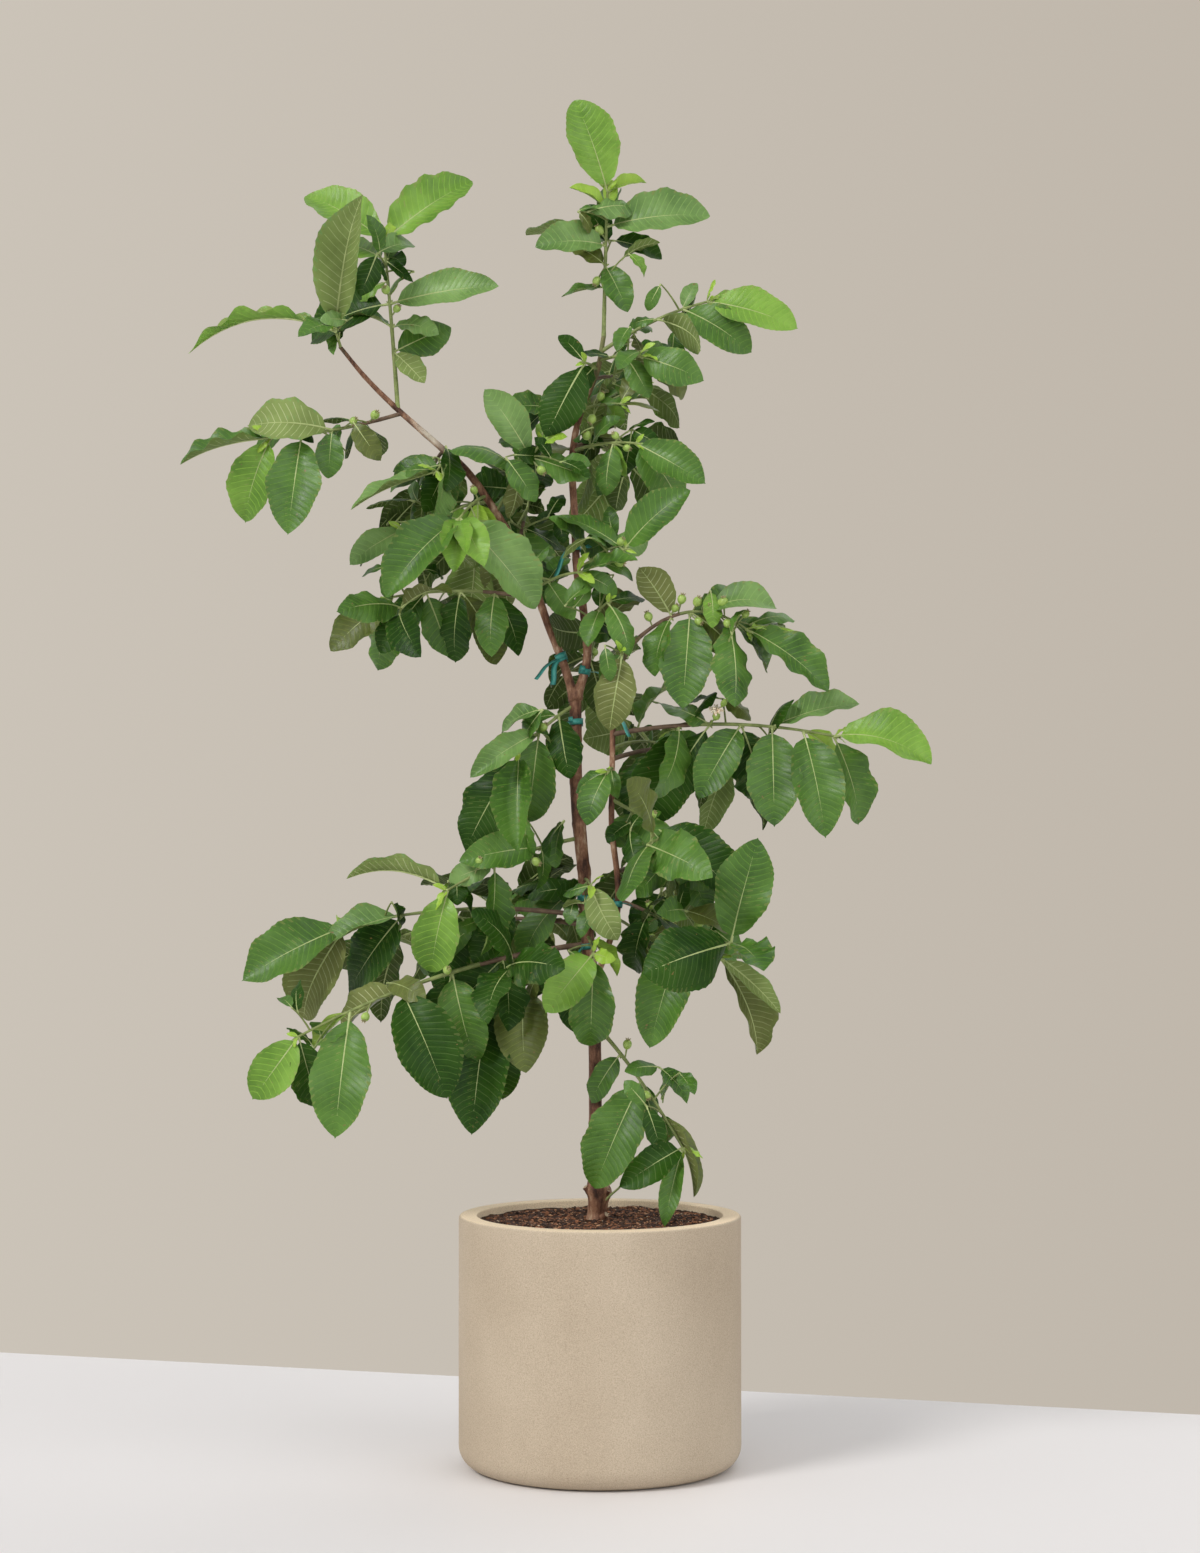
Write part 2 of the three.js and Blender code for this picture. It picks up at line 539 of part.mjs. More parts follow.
// Side twigs leave the stem to the back and the front in turn, the first way that is clear.
function growTwigs(shoot, dice) {
  const twigs = [];
  const leaves = [];
  for (let attempt = 0; twigs.length < shoot.twigs && attempt < TWIG.tries; attempt += 1) {
    const toBack = (shoot.order + attempt) % 2 ? 1 : -1;
    const foot = shoot.curve.getPoint(dice.between(0.45, 0.9));
    const heading = aimOf(dice.between(0, 360), toBack * TWIG.lean);
    const length = shoot.leafLength * dice.between(0.4, 0.6);
    const curve = bow(foot, along(foot, length, heading), TWIG.bow);
    const body = bodyOf(tube(curve, (t) => twigRadius(t) + ELBOW_ROOM, 3, 4));
    if (isClear(body, shoot.name)) {
      twigs.push(curve);
      grown.push({ ...body, owner: shoot.name });
      leaves.push(...growTwigLeaves(shoot, curve, toBack, dice));
    }
  }
  return { twigs, leaves };
}

// A fruit hangs on its stalk where there is room for it.
function growFruits(shoot, dice) {
  const fruits = [];
  for (let attempt = 0; fruits.length < shoot.fruits && attempt < TWIG.tries; attempt += 1) {
    const foot = shoot.curve.getPoint(dice.between(0.35, 0.95));
    const hang = aimOf(dice.between(200, 340), dice.between(-0.9, -0.3));
    const fruit = { foot, centre: along(foot, 4 * FRUIT_RADIUS, hang), hang };
    const bodies = [bodyOf(fruitGeometry(fruit, ELBOW_ROOM)), bodyOf(stalkGeometry(fruit, ELBOW_ROOM))];
    if (isClear(bodies[0], shoot.name) && isClear(bodies[1], shoot.name)) {
      fruits.push(fruit);
      bodies.forEach((body) => grown.push({ ...body, owner: null }));
    }
  }
  return fruits;
}

function fruitGeometry(fruit, extra) {
  const rings = [[-1.05, 0.3], [-0.4, 0.95], [0.45, 0.92], [1.05, 0.25]];
  return skin(rings.map(([step, width]) => {
    const centre = along(fruit.centre, step * FRUIT_RADIUS, fruit.hang);
    return ring(centre, fruit.hang, width * FRUIT_RADIUS + extra, 5);
  }));
}

function stalkGeometry(fruit, extra) {
  const curve = new THREE.LineCurve3(fruit.foot, fruit.centre);
  return tube(curve, () => 0.9 + extra, 1, 4);
}

function growShoot(shoot) {
  const dice = new Dice(shoot.order + 1);
  const leaves = growLeaves(shoot, dice);
  const side = growTwigs(shoot, dice);
  const fruitList = growFruits(shoot, dice);
  return { ...shoot, leaves: [...leaves, ...side.leaves], sideTwigs: side.twigs, fruitList };
}

function massSolid(shoot, cutters) {
  const stem = solidOf(tube(shoot.curve, shoot.radiusAt, Math.max(2, Math.round(shoot.length / 40)), 4));
  const parts = [
    ...shoot.sideTwigs.map((curve) => solidOf(tube(curve, twigRadius, 2, 3))),
    ...shoot.leaves.map((leaf) => solidOf(leafGeometry(leaf, 0, stationsOf(leaf)))),
    ...shoot.fruitList.map((fruit) => solidOf(fruitGeometry(fruit, 0))),
    ...shoot.fruitList.map((fruit) => solidOf(stalkGeometry(fruit, 0))),
  ];
  const joined = parts.reduce((whole, part) => whole.add(part), stem).asOriginal().simplify(SLIVER);
  const cut = cutters.reduce((whole, cutter) => whole.subtract(cutter), joined);
  return wholeOf(cut);
}

// ---------------------------------------------------------------- the whole plant
const tree = new THREE.Group();

function addPiece(name, geometry, color, roughness) {
  const mesh = new THREE.Mesh(geometry, new THREE.MeshStandardMaterial({ color, roughness, metalness: 0 }));
  mesh.name = name;
  tree.add(mesh);
}

addPiece('pot', lathe(potProfile(), POT.sides), '#c1b094', 0.85);
addPiece('soil', makeSoil(), '#3a2820', 0.95);
const { solids, cutters } = makeLimbs();
Object.entries(solids).forEach(([name, solid]) => addPiece(name, geometryOf(solid), LIMB_LOOKS[name], 0.8));
shoots.forEach(({ name, curve, length, radiusAt }) => {
  remember(curve, radiusAt, Math.max(3, Math.round(length / STEM_STEP)), name);
});
const masses = shoots.map(growShoot);
masses.forEach((mass) => addPiece(mass.name, geometryOf(massSolid(mass, cutters)), '#4f7a3c', 0.55));

export default tree;
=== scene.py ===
"""A potted guava tree, dressed: bark, leaves, twigs, fruit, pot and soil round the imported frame.

The tree grows here by the same rule as the solids: the limbs and shoots below, a small seeded dice,
and leaves that take the first stance that is clear of what has grown. Sizes are in millimetres until
a mesh is made, then metres. +Z is up, and the pot stands at the origin.
"""
import json
import math

import bpy
import numpy as np
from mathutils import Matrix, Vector, noise
from mathutils.bvhtree import BVHTree

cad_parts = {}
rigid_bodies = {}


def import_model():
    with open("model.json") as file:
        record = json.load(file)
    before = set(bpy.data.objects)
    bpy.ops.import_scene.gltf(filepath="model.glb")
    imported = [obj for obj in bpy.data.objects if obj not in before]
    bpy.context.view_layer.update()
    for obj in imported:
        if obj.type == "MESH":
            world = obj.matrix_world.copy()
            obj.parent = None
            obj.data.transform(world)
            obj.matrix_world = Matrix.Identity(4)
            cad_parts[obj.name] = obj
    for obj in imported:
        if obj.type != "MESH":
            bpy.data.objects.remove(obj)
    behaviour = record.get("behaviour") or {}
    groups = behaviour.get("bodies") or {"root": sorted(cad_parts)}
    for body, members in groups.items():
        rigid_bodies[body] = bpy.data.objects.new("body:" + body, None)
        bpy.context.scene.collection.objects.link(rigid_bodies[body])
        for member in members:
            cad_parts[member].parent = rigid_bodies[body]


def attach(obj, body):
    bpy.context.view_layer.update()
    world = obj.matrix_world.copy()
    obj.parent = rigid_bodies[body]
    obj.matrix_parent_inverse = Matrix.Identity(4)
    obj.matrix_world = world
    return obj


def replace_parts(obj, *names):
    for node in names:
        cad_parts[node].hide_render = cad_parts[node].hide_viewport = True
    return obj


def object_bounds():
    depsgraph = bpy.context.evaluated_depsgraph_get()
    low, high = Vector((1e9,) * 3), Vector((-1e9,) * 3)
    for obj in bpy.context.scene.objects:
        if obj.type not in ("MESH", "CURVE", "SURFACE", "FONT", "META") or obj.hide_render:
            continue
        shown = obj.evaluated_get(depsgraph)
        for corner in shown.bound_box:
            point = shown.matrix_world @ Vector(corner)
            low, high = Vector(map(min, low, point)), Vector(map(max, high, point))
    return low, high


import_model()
CAD_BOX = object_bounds()
MM = 0.001

# ------------------------------------------------------------------ driving sizes of the tree
POT = {"radius": 152.5, "height": 270, "wall": 20, "floor": 22, "foot_round": 24, "lip_round": 3.2,
       "brim_round": 1.6}
SOIL_TOP = 262
LEAF_WIDTH = (0.47, 0.57)
LEAF_THICKNESS = 0.018
LEAF_FOLD = 0.24
PETIOLE = 0.08
BIG_LEAF = 84
LEAFY = 0.7
BOW = 0.1
STANCES = 7
STEM_STEP = 25
TWIG = {"tries": 8, "bow": 0.12, "lean": 1.8, "leaves": 3, "leaf_lean": 0.9, "leaf_turn": 17}
FRUIT_RADIUS = 5.2
ELBOW_ROOM = 1.2
FRONT_LIGHT = np.array([0, -0.75, 0.66])
BACK_LIGHT = np.array([0, 0.6, 0.8])
UP = np.array([0.0, 0.0, 1.0])
FAR_BACK = 40
STATIONS = {"big": [0.24, 0.6, 0.87], "small": [0.3, 0.72]}
FINER = {"twigs": 3, "tries": 9, "leaves": 3, "length": (22, 44), "leaf": (30, 62), "seed": 900}
CAD_LOW, CAD_HIGH = (np.array(corner) / MM for corner in CAD_BOX)
SEEDS = {"leaves": 500, "fruit": 77, "flower": 5, "ties": 31}
# The first number of a spray's leaves on side twigs, on finer twigs, and of its young pair.
TWIG_LEAF, FINE_LEAF, YOUNG_LEAF = 100, 150, 200

# Limbs: places of the middle line (right, back, up, radius), from foot to tip.
LIMBS = {
    "trunk": [
        (-3, 4, 262.3, 11.5), (-3, 4, 272, 9.6), (-2, 3, 284, 10.6), (-2, 2, 297, 12.4),
        (-4, 2, 314, 8.6), (-5, 1, 338, 7.2), (-5, 0, 393, 7.1), (-7, -1, 501, 7.0), (-13, -2, 566, 7.3),
        (-17, -2, 631, 6.9), (-21, -2, 675, 7.1), (-26, -1, 740, 7.2), (-26, 0, 790, 6.3),
        (-27, 0, 836, 6.2)],
    "left_leader": [
        (-27, 0, 826, 4.9), (-41, 3, 870, 4.6), (-56, 4, 908, 4.4), (-76, 2, 962, 4.2),
        (-103, -2, 1014, 4.2), (-141, -5, 1071, 4.0), (-174, -4, 1102, 3.6), (-220, 0, 1143, 3.1),
        (-255, 4, 1178, 2.6), (-283, 6, 1212, 2.1)],
    "right_leader": [
        (-26, -1, 828, 4.8), (-14, -6, 872, 4.6), (-18, -8, 924, 4.4), (-25, -6, 968, 4.2),
        (-28, -2, 1031, 4.0), (-30, 0, 1071, 3.8), (-29, 1, 1103, 3.7), (-20, 0, 1143, 3.5),
        (-3, -2, 1185, 3.0), (4, -2, 1223, 2.5)],
    "third_stem": [
        (-8, -2, 517, 3.6), (7, -10, 555, 3.5), (18, -16, 593, 3.4), (19, -18, 631, 3.3),
        (13, -18, 686, 3.2), (13, -16, 740, 3.1), (14, -14, 794, 3.0), (16, -14, 837, 2.8),
        (28, -16, 876, 2.5), (43, -18, 894, 2.2)],
}

# Shoots: name, limb, height on the limb, tip [right, back, up, bow], longest leaf, leaves from tip to
# foot, side twigs, fruits. A leaf is [aim, share of the longest, what isn't left to the dice].
SHOOTS = [
    ["left_tip", "left_leader", 1212, [-287, -12, 1226], 162,
     [[77, 0.95], [184, 1.06, {"turn": -52, "arch": 0.9}]], 0, 0],
    ["left_high", "left_leader", 1143, [-235, -6, 1326], 124,
     [[148, 0.9, {"lean": 0.3}], [37, 0.95, {"turn": -8}], [-39, 0.35], [156, 0.8, {"lean": 0.8}],
     [66, 0.28], [215, 0.35], [5, 1.04, {"turn": -10, "arch": 0.15}], [190, 0.96, {"lean": 0.45}],
     [-22, 0.46], [168, 0.42], [-44, 0.42], [14, 0.6]], 0, 0],
    ["left_mid", "left_leader", 1139, [-356, -18, 1110, -0.06], 120,
     [[197, 0.84, {"turn": -30}], [251, 0.78, {"turn": 0}], [256, 1.02, {"turn": 5}], [170, 0.35],
     [177, 0.76, {"turn": 0}], [278, 0.46], [222, 0.6, {"lean": 1.6}], [300, 0.5, {"lean": 1.8}]], 0, 0],
    ["left_under", "left_leader", 1090, [-176, -32, 1072], 108,
     [[205, 0.92, {"turn": -35}], [180, 0.4], [231, 0.82], [204, 0.66], [262, 0.6], [250, 0.7]], 0, 1],
    ["left_front", "left_leader", 1048, [-149, -72, 1017], 132,
     [[228, 0.88, {"turn": 5}], [311, 0.98, {"turn": 5}], [270, 0.5], [292, 0.54]], 0, 0],
    ["centre_top", "left_leader", 1030, [-64, -26, 1102], 94,
     [[19, 0.35], [72, 0.4], [124, 0.96, {"turn": 5}], [-19, 0.72], [163, 0.86], [262, 0.55],
     [-40, 0.7], [218, 0.8]], 1, 1],
    ["crown_top", "right_leader", 1223, [8, -4, 1380], 114,
     [[110, 0.94, {"turn": 0}], [16, 0.42], [154, 0.42], [80, 0.3], [4, 1.04, {"turn": 0}], [92, 0.52],
     [184, 0.7], [168, 0.9], [-64, 0.54], [146, 0.42], [-14, 0.66, {"lean": -0.5}], [170, 0.42]], 0, 1],
    ["crown_right", "right_leader", 1206, [116, -22, 1257], 112,
     [[-18, 0.92, {"turn": 0}], [8, 0.82], [-45, 0.8], [73, 0.32], [-28, 0.78], [200, 0.3],
     [-60, 0.6, {"lean": 1.5}], [40, 0.4, {"lean": 1.8}]], 0, 0],
    ["crown_side", "right_leader", 1196, [42, -34, 1196], 90,
     [[-26, 0.85], [-38, 0.8], [-62, 0.6], [5, 0.7], [200, 0.42], [60, 0.4]], 0, 0],
    ["leader_right", "right_leader", 1098, [38, -40, 1101], 98,
     [[-33, 0.92], [-49, 0.88], [266, 0.62], [-73, 0.4], [40, 0.5], [225, 0.5]], 0, 1],
    ["leader_bud", "right_leader", 1143, [22, -22, 1146], 66,
     [[-11, 0.65], [55, 0.7], [-35, 0.75], [80, 0.6]], 0, 1],
    ["leader_dark", "right_leader", 1186, [-16, -26, 1190], 104,
     [[243, 0.95], [131, 0.45], [222, 0.5]], 0, 0],
    ["leader_left", "right_leader", 1124, [-54, 34, 1150], 96,
     [[180, 0.55], [214, 0.62], [240, 0.82], [262, 0.6]], 0, 1],
    ["left_dark", "left_leader", 1042, [-216, 34, 1016], 92,
     [[210, 0.8], [208, 0.78], [250, 0.72], [190, 0.5], [278, 0.7], [236, 0.8]], 1, 0],
    ["left_lower", "left_leader", 936, [-228, 30, 941], 102,
     [[220, 0.88], [254, 0.84], [248, 0.82], [273, 0.75], [292, 0.95], [262, 0.8], [256, 0.78],
     [300, 0.7]], 1, 0],
    ["fork_front", "left_leader", 948, [-24, -48, 961], 70,
     [[12, 0.95], [-27, 0.72], [288, 0.75], [50, 0.7]], 0, 0],
    ["leader_low", "right_leader", 905, [8, -36, 930], 70,
     [[-66, 0.92], [25, 0.7], [240, 0.65], [100, 0.5], [-30, 0.6], [200, 0.6]], 0, 0],
    ["centre_right", "right_leader", 968, [26, -44, 986], 102,
     [[41, 0.92, {"turn": 0}], [149, 0.82], [131, 0.68], [-20, 0.5]], 0, 1],
    ["right_mid", "third_stem", 894, [157, -30, 902, 0.4], 118,
     [[-38, 0.98, {"turn": 5}], [-16, 0.6], [273, 0.9], [-29, 0.78], [6, 0.62, {"turn": 20, "arch": 0.8}],
     [-14, 0.78], [265, 0.94, {"turn": 0}], [-50, 0.82], [246, 0.6], [121, 0.56]], 0, 2],
    ["stem_front", "third_stem", 862, [24, -56, 874], 92, [[263, 0.95], [235, 0.45]], 0, 0],
    ["right_far", "third_stem", 789, [253, -12, 787], 134,
     [[-16, 0.84, {"turn": 15, "arch": 0.9}], [-73, 0.78], [-80, 0.87, {"turn": 5}], [-36, 0.45],
     [270, 0.84, {"turn": 0}], [16, 0.76], [241, 0.68, {"turn": 0}], [-70, 0.76], [157, 0.5],
     [249, 0.8], [268, 0.7], [252, 0.86]], 0, 0],
    ["third_left", "third_stem", 752, [9, -44, 748], 74, [[247, 0.88], [212, 0.62], [276, 0.5]], 0, 0],
    ["right_dark", "third_stem", 774, [62, 46, 782], 116,
     [[266, 1], [247, 0.9], [283, 0.7], [290, 0.7]], 1, 0],
    ["right_low", "third_stem", 718, [86, -36, 664], 118,
     [[-66, 0.6], [223, 0.62], [-40, 0.98, {"turn": 5}], [258, 0.96], [-55, 0.72], [205, 0.5]], 1, 0],
    ["right_foot", "third_stem", 610, [128, -42, 549], 128,
     [[-41, 0.72], [-69, 0.9], [253, 0.98, {"turn": 0}], [-34, 0.6], [-71, 0.62], [240, 0.6]], 1, 2],
    ["third_olive", "third_stem", 590, [46, 22, 568], 82, [[-68, 0.9], [-40, 0.7], [-85, 0.8]], 0, 0],
    ["left_inner", "trunk", 822, [-87, -28, 768], 118,
     [[270, 0.97], [238, 1], [215, 0.8], [262, 0.86], [268, 0.66], [182, 0.35]], 0, 0],
    ["left_low", "trunk", 677, [-163, -40, 621], 112,
     [[171, 0.98, {"turn": -62}], [257, 0.84, {"turn": 0}], [283, 0.86], [192, 0.5], [181, 0.9],
     [275, 0.45]], 0, 1],
    ["trunk_left", "trunk", 622, [-36, 34, 614], 98, [[233, 0.95], [205, 0.8], [262, 0.5], [190, 0.6]], 0, 1],
    ["trunk_front", "trunk", 632, [-10, -48, 626], 70, [[-62, 0.95], [200, 0.5]], 0, 0],
    ["left_deep", "trunk", 546, [-122, 6, 492], 124,
     [[262, 1.1, {"turn": 0}], [-82, 0.9], [264, 0.86], [250, 0.8], [-80, 0.6]], 1, 0],
    ["left_wing", "trunk", 592, [-276, 16, 581], 142,
     [[208, 0.92, {"turn": 0}], [243, 0.84], [199, 0.62], [236, 0.8], [262, 0.7], [222, 0.66], [250, 0.6],
     [285, 0.6]], 0, 0],
    ["left_foot", "trunk", 562, [-320, -66, 466], 144,
     [[235, 0.58], [-78, 0.56], [266, 0.98, {"turn": 5}], [226, 0.4], [-65, 0.86, {"turn": 0}], [222, 0.6],
     [-76, 0.7], [250, 0.7], [-67, 0.6], [215, 0.6]], 0, 1],
    ["front_rosette", "trunk", 570, [-7, -62, 554], 106,
     [[233, 0.78], [267, 0.98], [-51, 0.5], [217, 0.9]], 0, 0],
    ["foot_shoot", "trunk", 476, [88, -52, 347], 130,
     [[211, 0.54], [267, 0.7], [-68, 0.74, {"turn": 60}], [300, 0.35], [248, 0.95, {"turn": 0}], [286, 0.4],
     [246, 0.5]], 0, 1],
    ["centre_back", "left_leader", 990, [-76, 120, 1064], 104,
     [[150, 0.85], [200, 0.85], [95, 0.7], [250, 0.9], [280, 0.9], [320, 0.6]], 1, 0],
    ["back_low_left", "trunk", 600, [-104, 190, 598], 108,
     [[225, 0.9], [262, 1], [285, 0.8], [190, 0.7]], 1, 0],
    ["back_low_right", "third_stem", 640, [84, 180, 628], 108,
     [[-58, 0.9], [265, 1], [232, 0.8], [-30, 0.6]], 2, 0],
    ["back_mid", "right_leader", 872, [-8, 190, 866], 104,
     [[250, 0.9], [-72, 1], [215, 0.7], [-60, 0.7]], 2, 0],
    ["back_left", "left_leader", 1014, [-146, 185, 1024], 108,
     [[225, 0.9], [265, 1], [300, 0.8], [185, 0.7]], 2, 0],
    ["back_right", "right_leader", 1103, [32, 170, 1106], 100,
     [[-62, 0.9], [228, 1], [72, 0.6], [260, 0.9]], 1, 0],
    ["back_high", "right_leader", 1176, [46, 120, 1186], 88,
     [[-40, 0.8], [205, 0.7], [70, 0.5], [250, 0.9]], 1, 0],
    ["back_far", "third_stem", 762, [150, 150, 772], 112,
     [[-62, 0.9], [248, 0.9], [12, 0.6], [262, 0.8]], 1, 0],
    ["back_wing", "trunk", 582, [-226, 150, 566], 116,
     [[205, 0.8], [255, 0.9], [285, 0.8], [225, 0.9]], 1, 0],
    ["back_under", "left_leader", 1098, [-196, 110, 1072], 92,
     [[222, 0.8], [265, 0.8], [200, 0.6], [285, 0.8]], 0, 0],
]


# ------------------------------------------------------------------ small tools
class Dice:
    """A small seeded dice, so that the tree grows the same way every time."""

    def __init__(self, seed):
        self.state = seed * 7919 + 17
        for _ in range(4):
            self.roll()

    def roll(self):
        self.state = (self.state * 48271) % 2147483647
        return self.state / 2147483647

    def between(self, low, high):
        return low + (high - low) * self.roll()


def vec(*numbers):
    return np.array(numbers, float)


def mix(a, b, share):
    return a + (b - a) * share


def clamp(value, low=0, high=1):
    return min(max(value, low), high)


def unit(v):
    return v / np.linalg.norm(v)


def swing(a, b, turn):
    """The direction a, turned towards b."""
    return a * math.cos(turn) + b * math.sin(turn)


def aim_of(angle, lean):
    turn = math.radians(angle)
    return unit(vec(math.cos(turn), lean, math.sin(turn)))


def noise_at(*place):
    return noise.noise(Vector(place))


# ------------------------------------------------------------------ curves
class Bow:
    """A stem that bows up between its foot and its tip."""

    def __init__(self, foot, tip, rise):
        self.foot, self.tip = foot, tip
        self.middle = (foot + tip) / 2 + UP * rise * np.linalg.norm(tip - foot)

    def point(self, t):
        return (1 - t) ** 2 * self.foot + 2 * t * (1 - t) * self.middle + t * t * self.tip


class Limb:
    """A limb's smooth middle line through its places, with its radius."""

    def __init__(self, name):
        self.name = name
        self.places = [vec(*place[:3]) for place in LIMBS[name]]
        self.radii = [place[3] for place in LIMBS[name]]
        self.steps = 20 if name == "trunk" else 13

    def point(self, t):
        last = len(self.places) - 1
        k = min(int(t * last), last - 1)
        w = t * last - k
        a, b = self.places[k], self.places[k + 1]
        before = self.places[k - 1] if k > 0 else 2 * a - b
        after = self.places[k + 2] if k + 2 <= last else 2 * b - a
        leave, arrive = (b - before) / 2, (after - a) / 2
        return (a + leave * w + (3 * (b - a) - 2 * leave - arrive) * w ** 2
                + (2 * (a - b) + leave + arrive) * w ** 3)

    def radius(self, t):
        last = len(self.radii) - 1
        place = min(t * last, last - 0.0001)
        k = int(place)
        return mix(self.radii[k], self.radii[k + 1], place - k)

    def share_at(self, height):
        low, high = 0.0, 1.0
        for _ in range(24):
            middle = (low + high) / 2
            if self.point(middle)[2] < height:
                low = middle
            else:
                high = middle
        return low


def direction_of(curve, t):
    step = 0.0001
    return unit(curve.point(min(t + step, 1)) - curve.point(max(t - step, 0)))


def ring(centre, direction, radius, sides):
    across = vec(1, 0, 0) if abs(direction[1]) > 0.9 else vec(0, 1, 0)
    u = unit(np.cross(across, direction))
    v = unit(np.cross(direction, u))
    turns = 2 * math.pi * np.arange(sides) / sides
    return centre + radius * (np.outer(np.cos(turns), u) + np.outer(np.sin(turns), v))


# ------------------------------------------------------------------ keeping clear of each other
class Body:
    """A coarse closed skin over rings, kept to test what else may grow there."""

    def __init__(self, rings, owner=None):
        around = len(rings[0])
        self.points = np.concatenate(rings)
        faces = []
        for r in range(len(rings) - 1):
            for i in range(around):
                a, b = r * around + i, r * around + (i + 1) % around
                faces += [(a, b, b + around), (a, b + around, a + around)]
        last = (len(rings) - 1) * around
        for i in range(1, around - 1):
            faces += [(0, i + 1, i), (last, last + i, last + i + 1)]
        self.low, self.high = self.points.min(0), self.points.max(0)
        self.tree = BVHTree.FromPolygons(self.points.tolist(), faces, all_triangles=True)
        self.owner = owner

    def meets(self, other):
        if (self.low > other.high).any() or (other.low > self.high).any():
            return False
        return bool(self.tree.overlap(other.tree))


grown = []


def is_clear(body, ignored):
    return not any(other.owner != ignored and body.meets(other) for other in grown)


def tube_rings(curve, radius, shares, sides):
    return [ring(curve.point(t), direction_of(curve, t), radius(t) + ELBOW_ROOM, sides) for t in shares]


def remember(curve, radius, steps, owner):
    for k in range(steps):
        grown.append(Body(tube_rings(curve, radius, (k / steps, (k + 1) / steps), 6), owner))


def stays_off_pot(body):
    wide = np.hypot(body.points[:, 0], body.points[:, 1])
    return bool(((body.points[:, 2] > POT["height"] + 8) | (wide > POT["radius"] + 12)).all())


# ------------------------------------------------------------------ how leaves and shoots grow
def leaf_outline(s):
    if s == 0:
        return 0.03
    if s < PETIOLE:
        return 0.07
    t = (s - PETIOLE) / (1 - PETIOLE)
    return max(0.07, max(math.sin(math.pi * t ** 1.18), 0) ** 0.72)


class Leaf:
    """A leaf's stance: its foot, aim, length, width, arch and roll."""

    def __init__(self, foot, aim, length, width, arch, roll):
        self.foot, self.aim, self.length, self.width, self.arch = foot, aim, length, width, arch
        level = unit(np.cross(aim, BACK_LIGHT if foot[1] > FAR_BACK else FRONT_LIGHT))
        self.side = unit(swing(level, unit(np.cross(level, aim)), roll))
        self.lift = unit(np.cross(self.side, aim))

    def middle(self, s):
        bend = self.arch * (s - s * s)
        return self.foot + self.length * (self.aim * s + self.lift * bend)

    def normal(self, s):
        return unit(np.cross(self.side, self.aim + self.lift * self.arch * (1 - 2 * s)))

    def body(self, stations, owner):
        rings = []
        for s in stations:
            centre, up = self.middle(s), self.normal(s)
            half = self.width / 2 * leaf_outline(s) + ELBOW_ROOM
            thick = self.length * LEAF_THICKNESS / 2 + ELBOW_ROOM
            edge = centre + up * half * LEAF_FOLD
            rings.append(np.array([edge - half * self.side, centre - thick * up,
                                   edge + half * self.side, centre + thick * up]))
        rings.append(np.array([self.middle(1.0)] * 4))
        return Body(rings, owner)


def settle(stance, shoot, index, chosen=False):
    """A list with the leaf at the first stance that is clear of what has grown, or an empty list."""
    for attempt in range(STANCES):
        leaf = Leaf(*stance(attempt))
        stations = STATIONS["big" if leaf.length > BIG_LEAF else "small"]
        whole = leaf.body([PETIOLE / 2, *stations], shoot.name)
        if stays_off_pot(whole) and is_clear(whole, shoot.name):
            grown.extend([whole, leaf.body(stations, None)])
            leaf.shoot, leaf.index, leaf.chosen = shoot, index, chosen
            return [leaf]
    return []


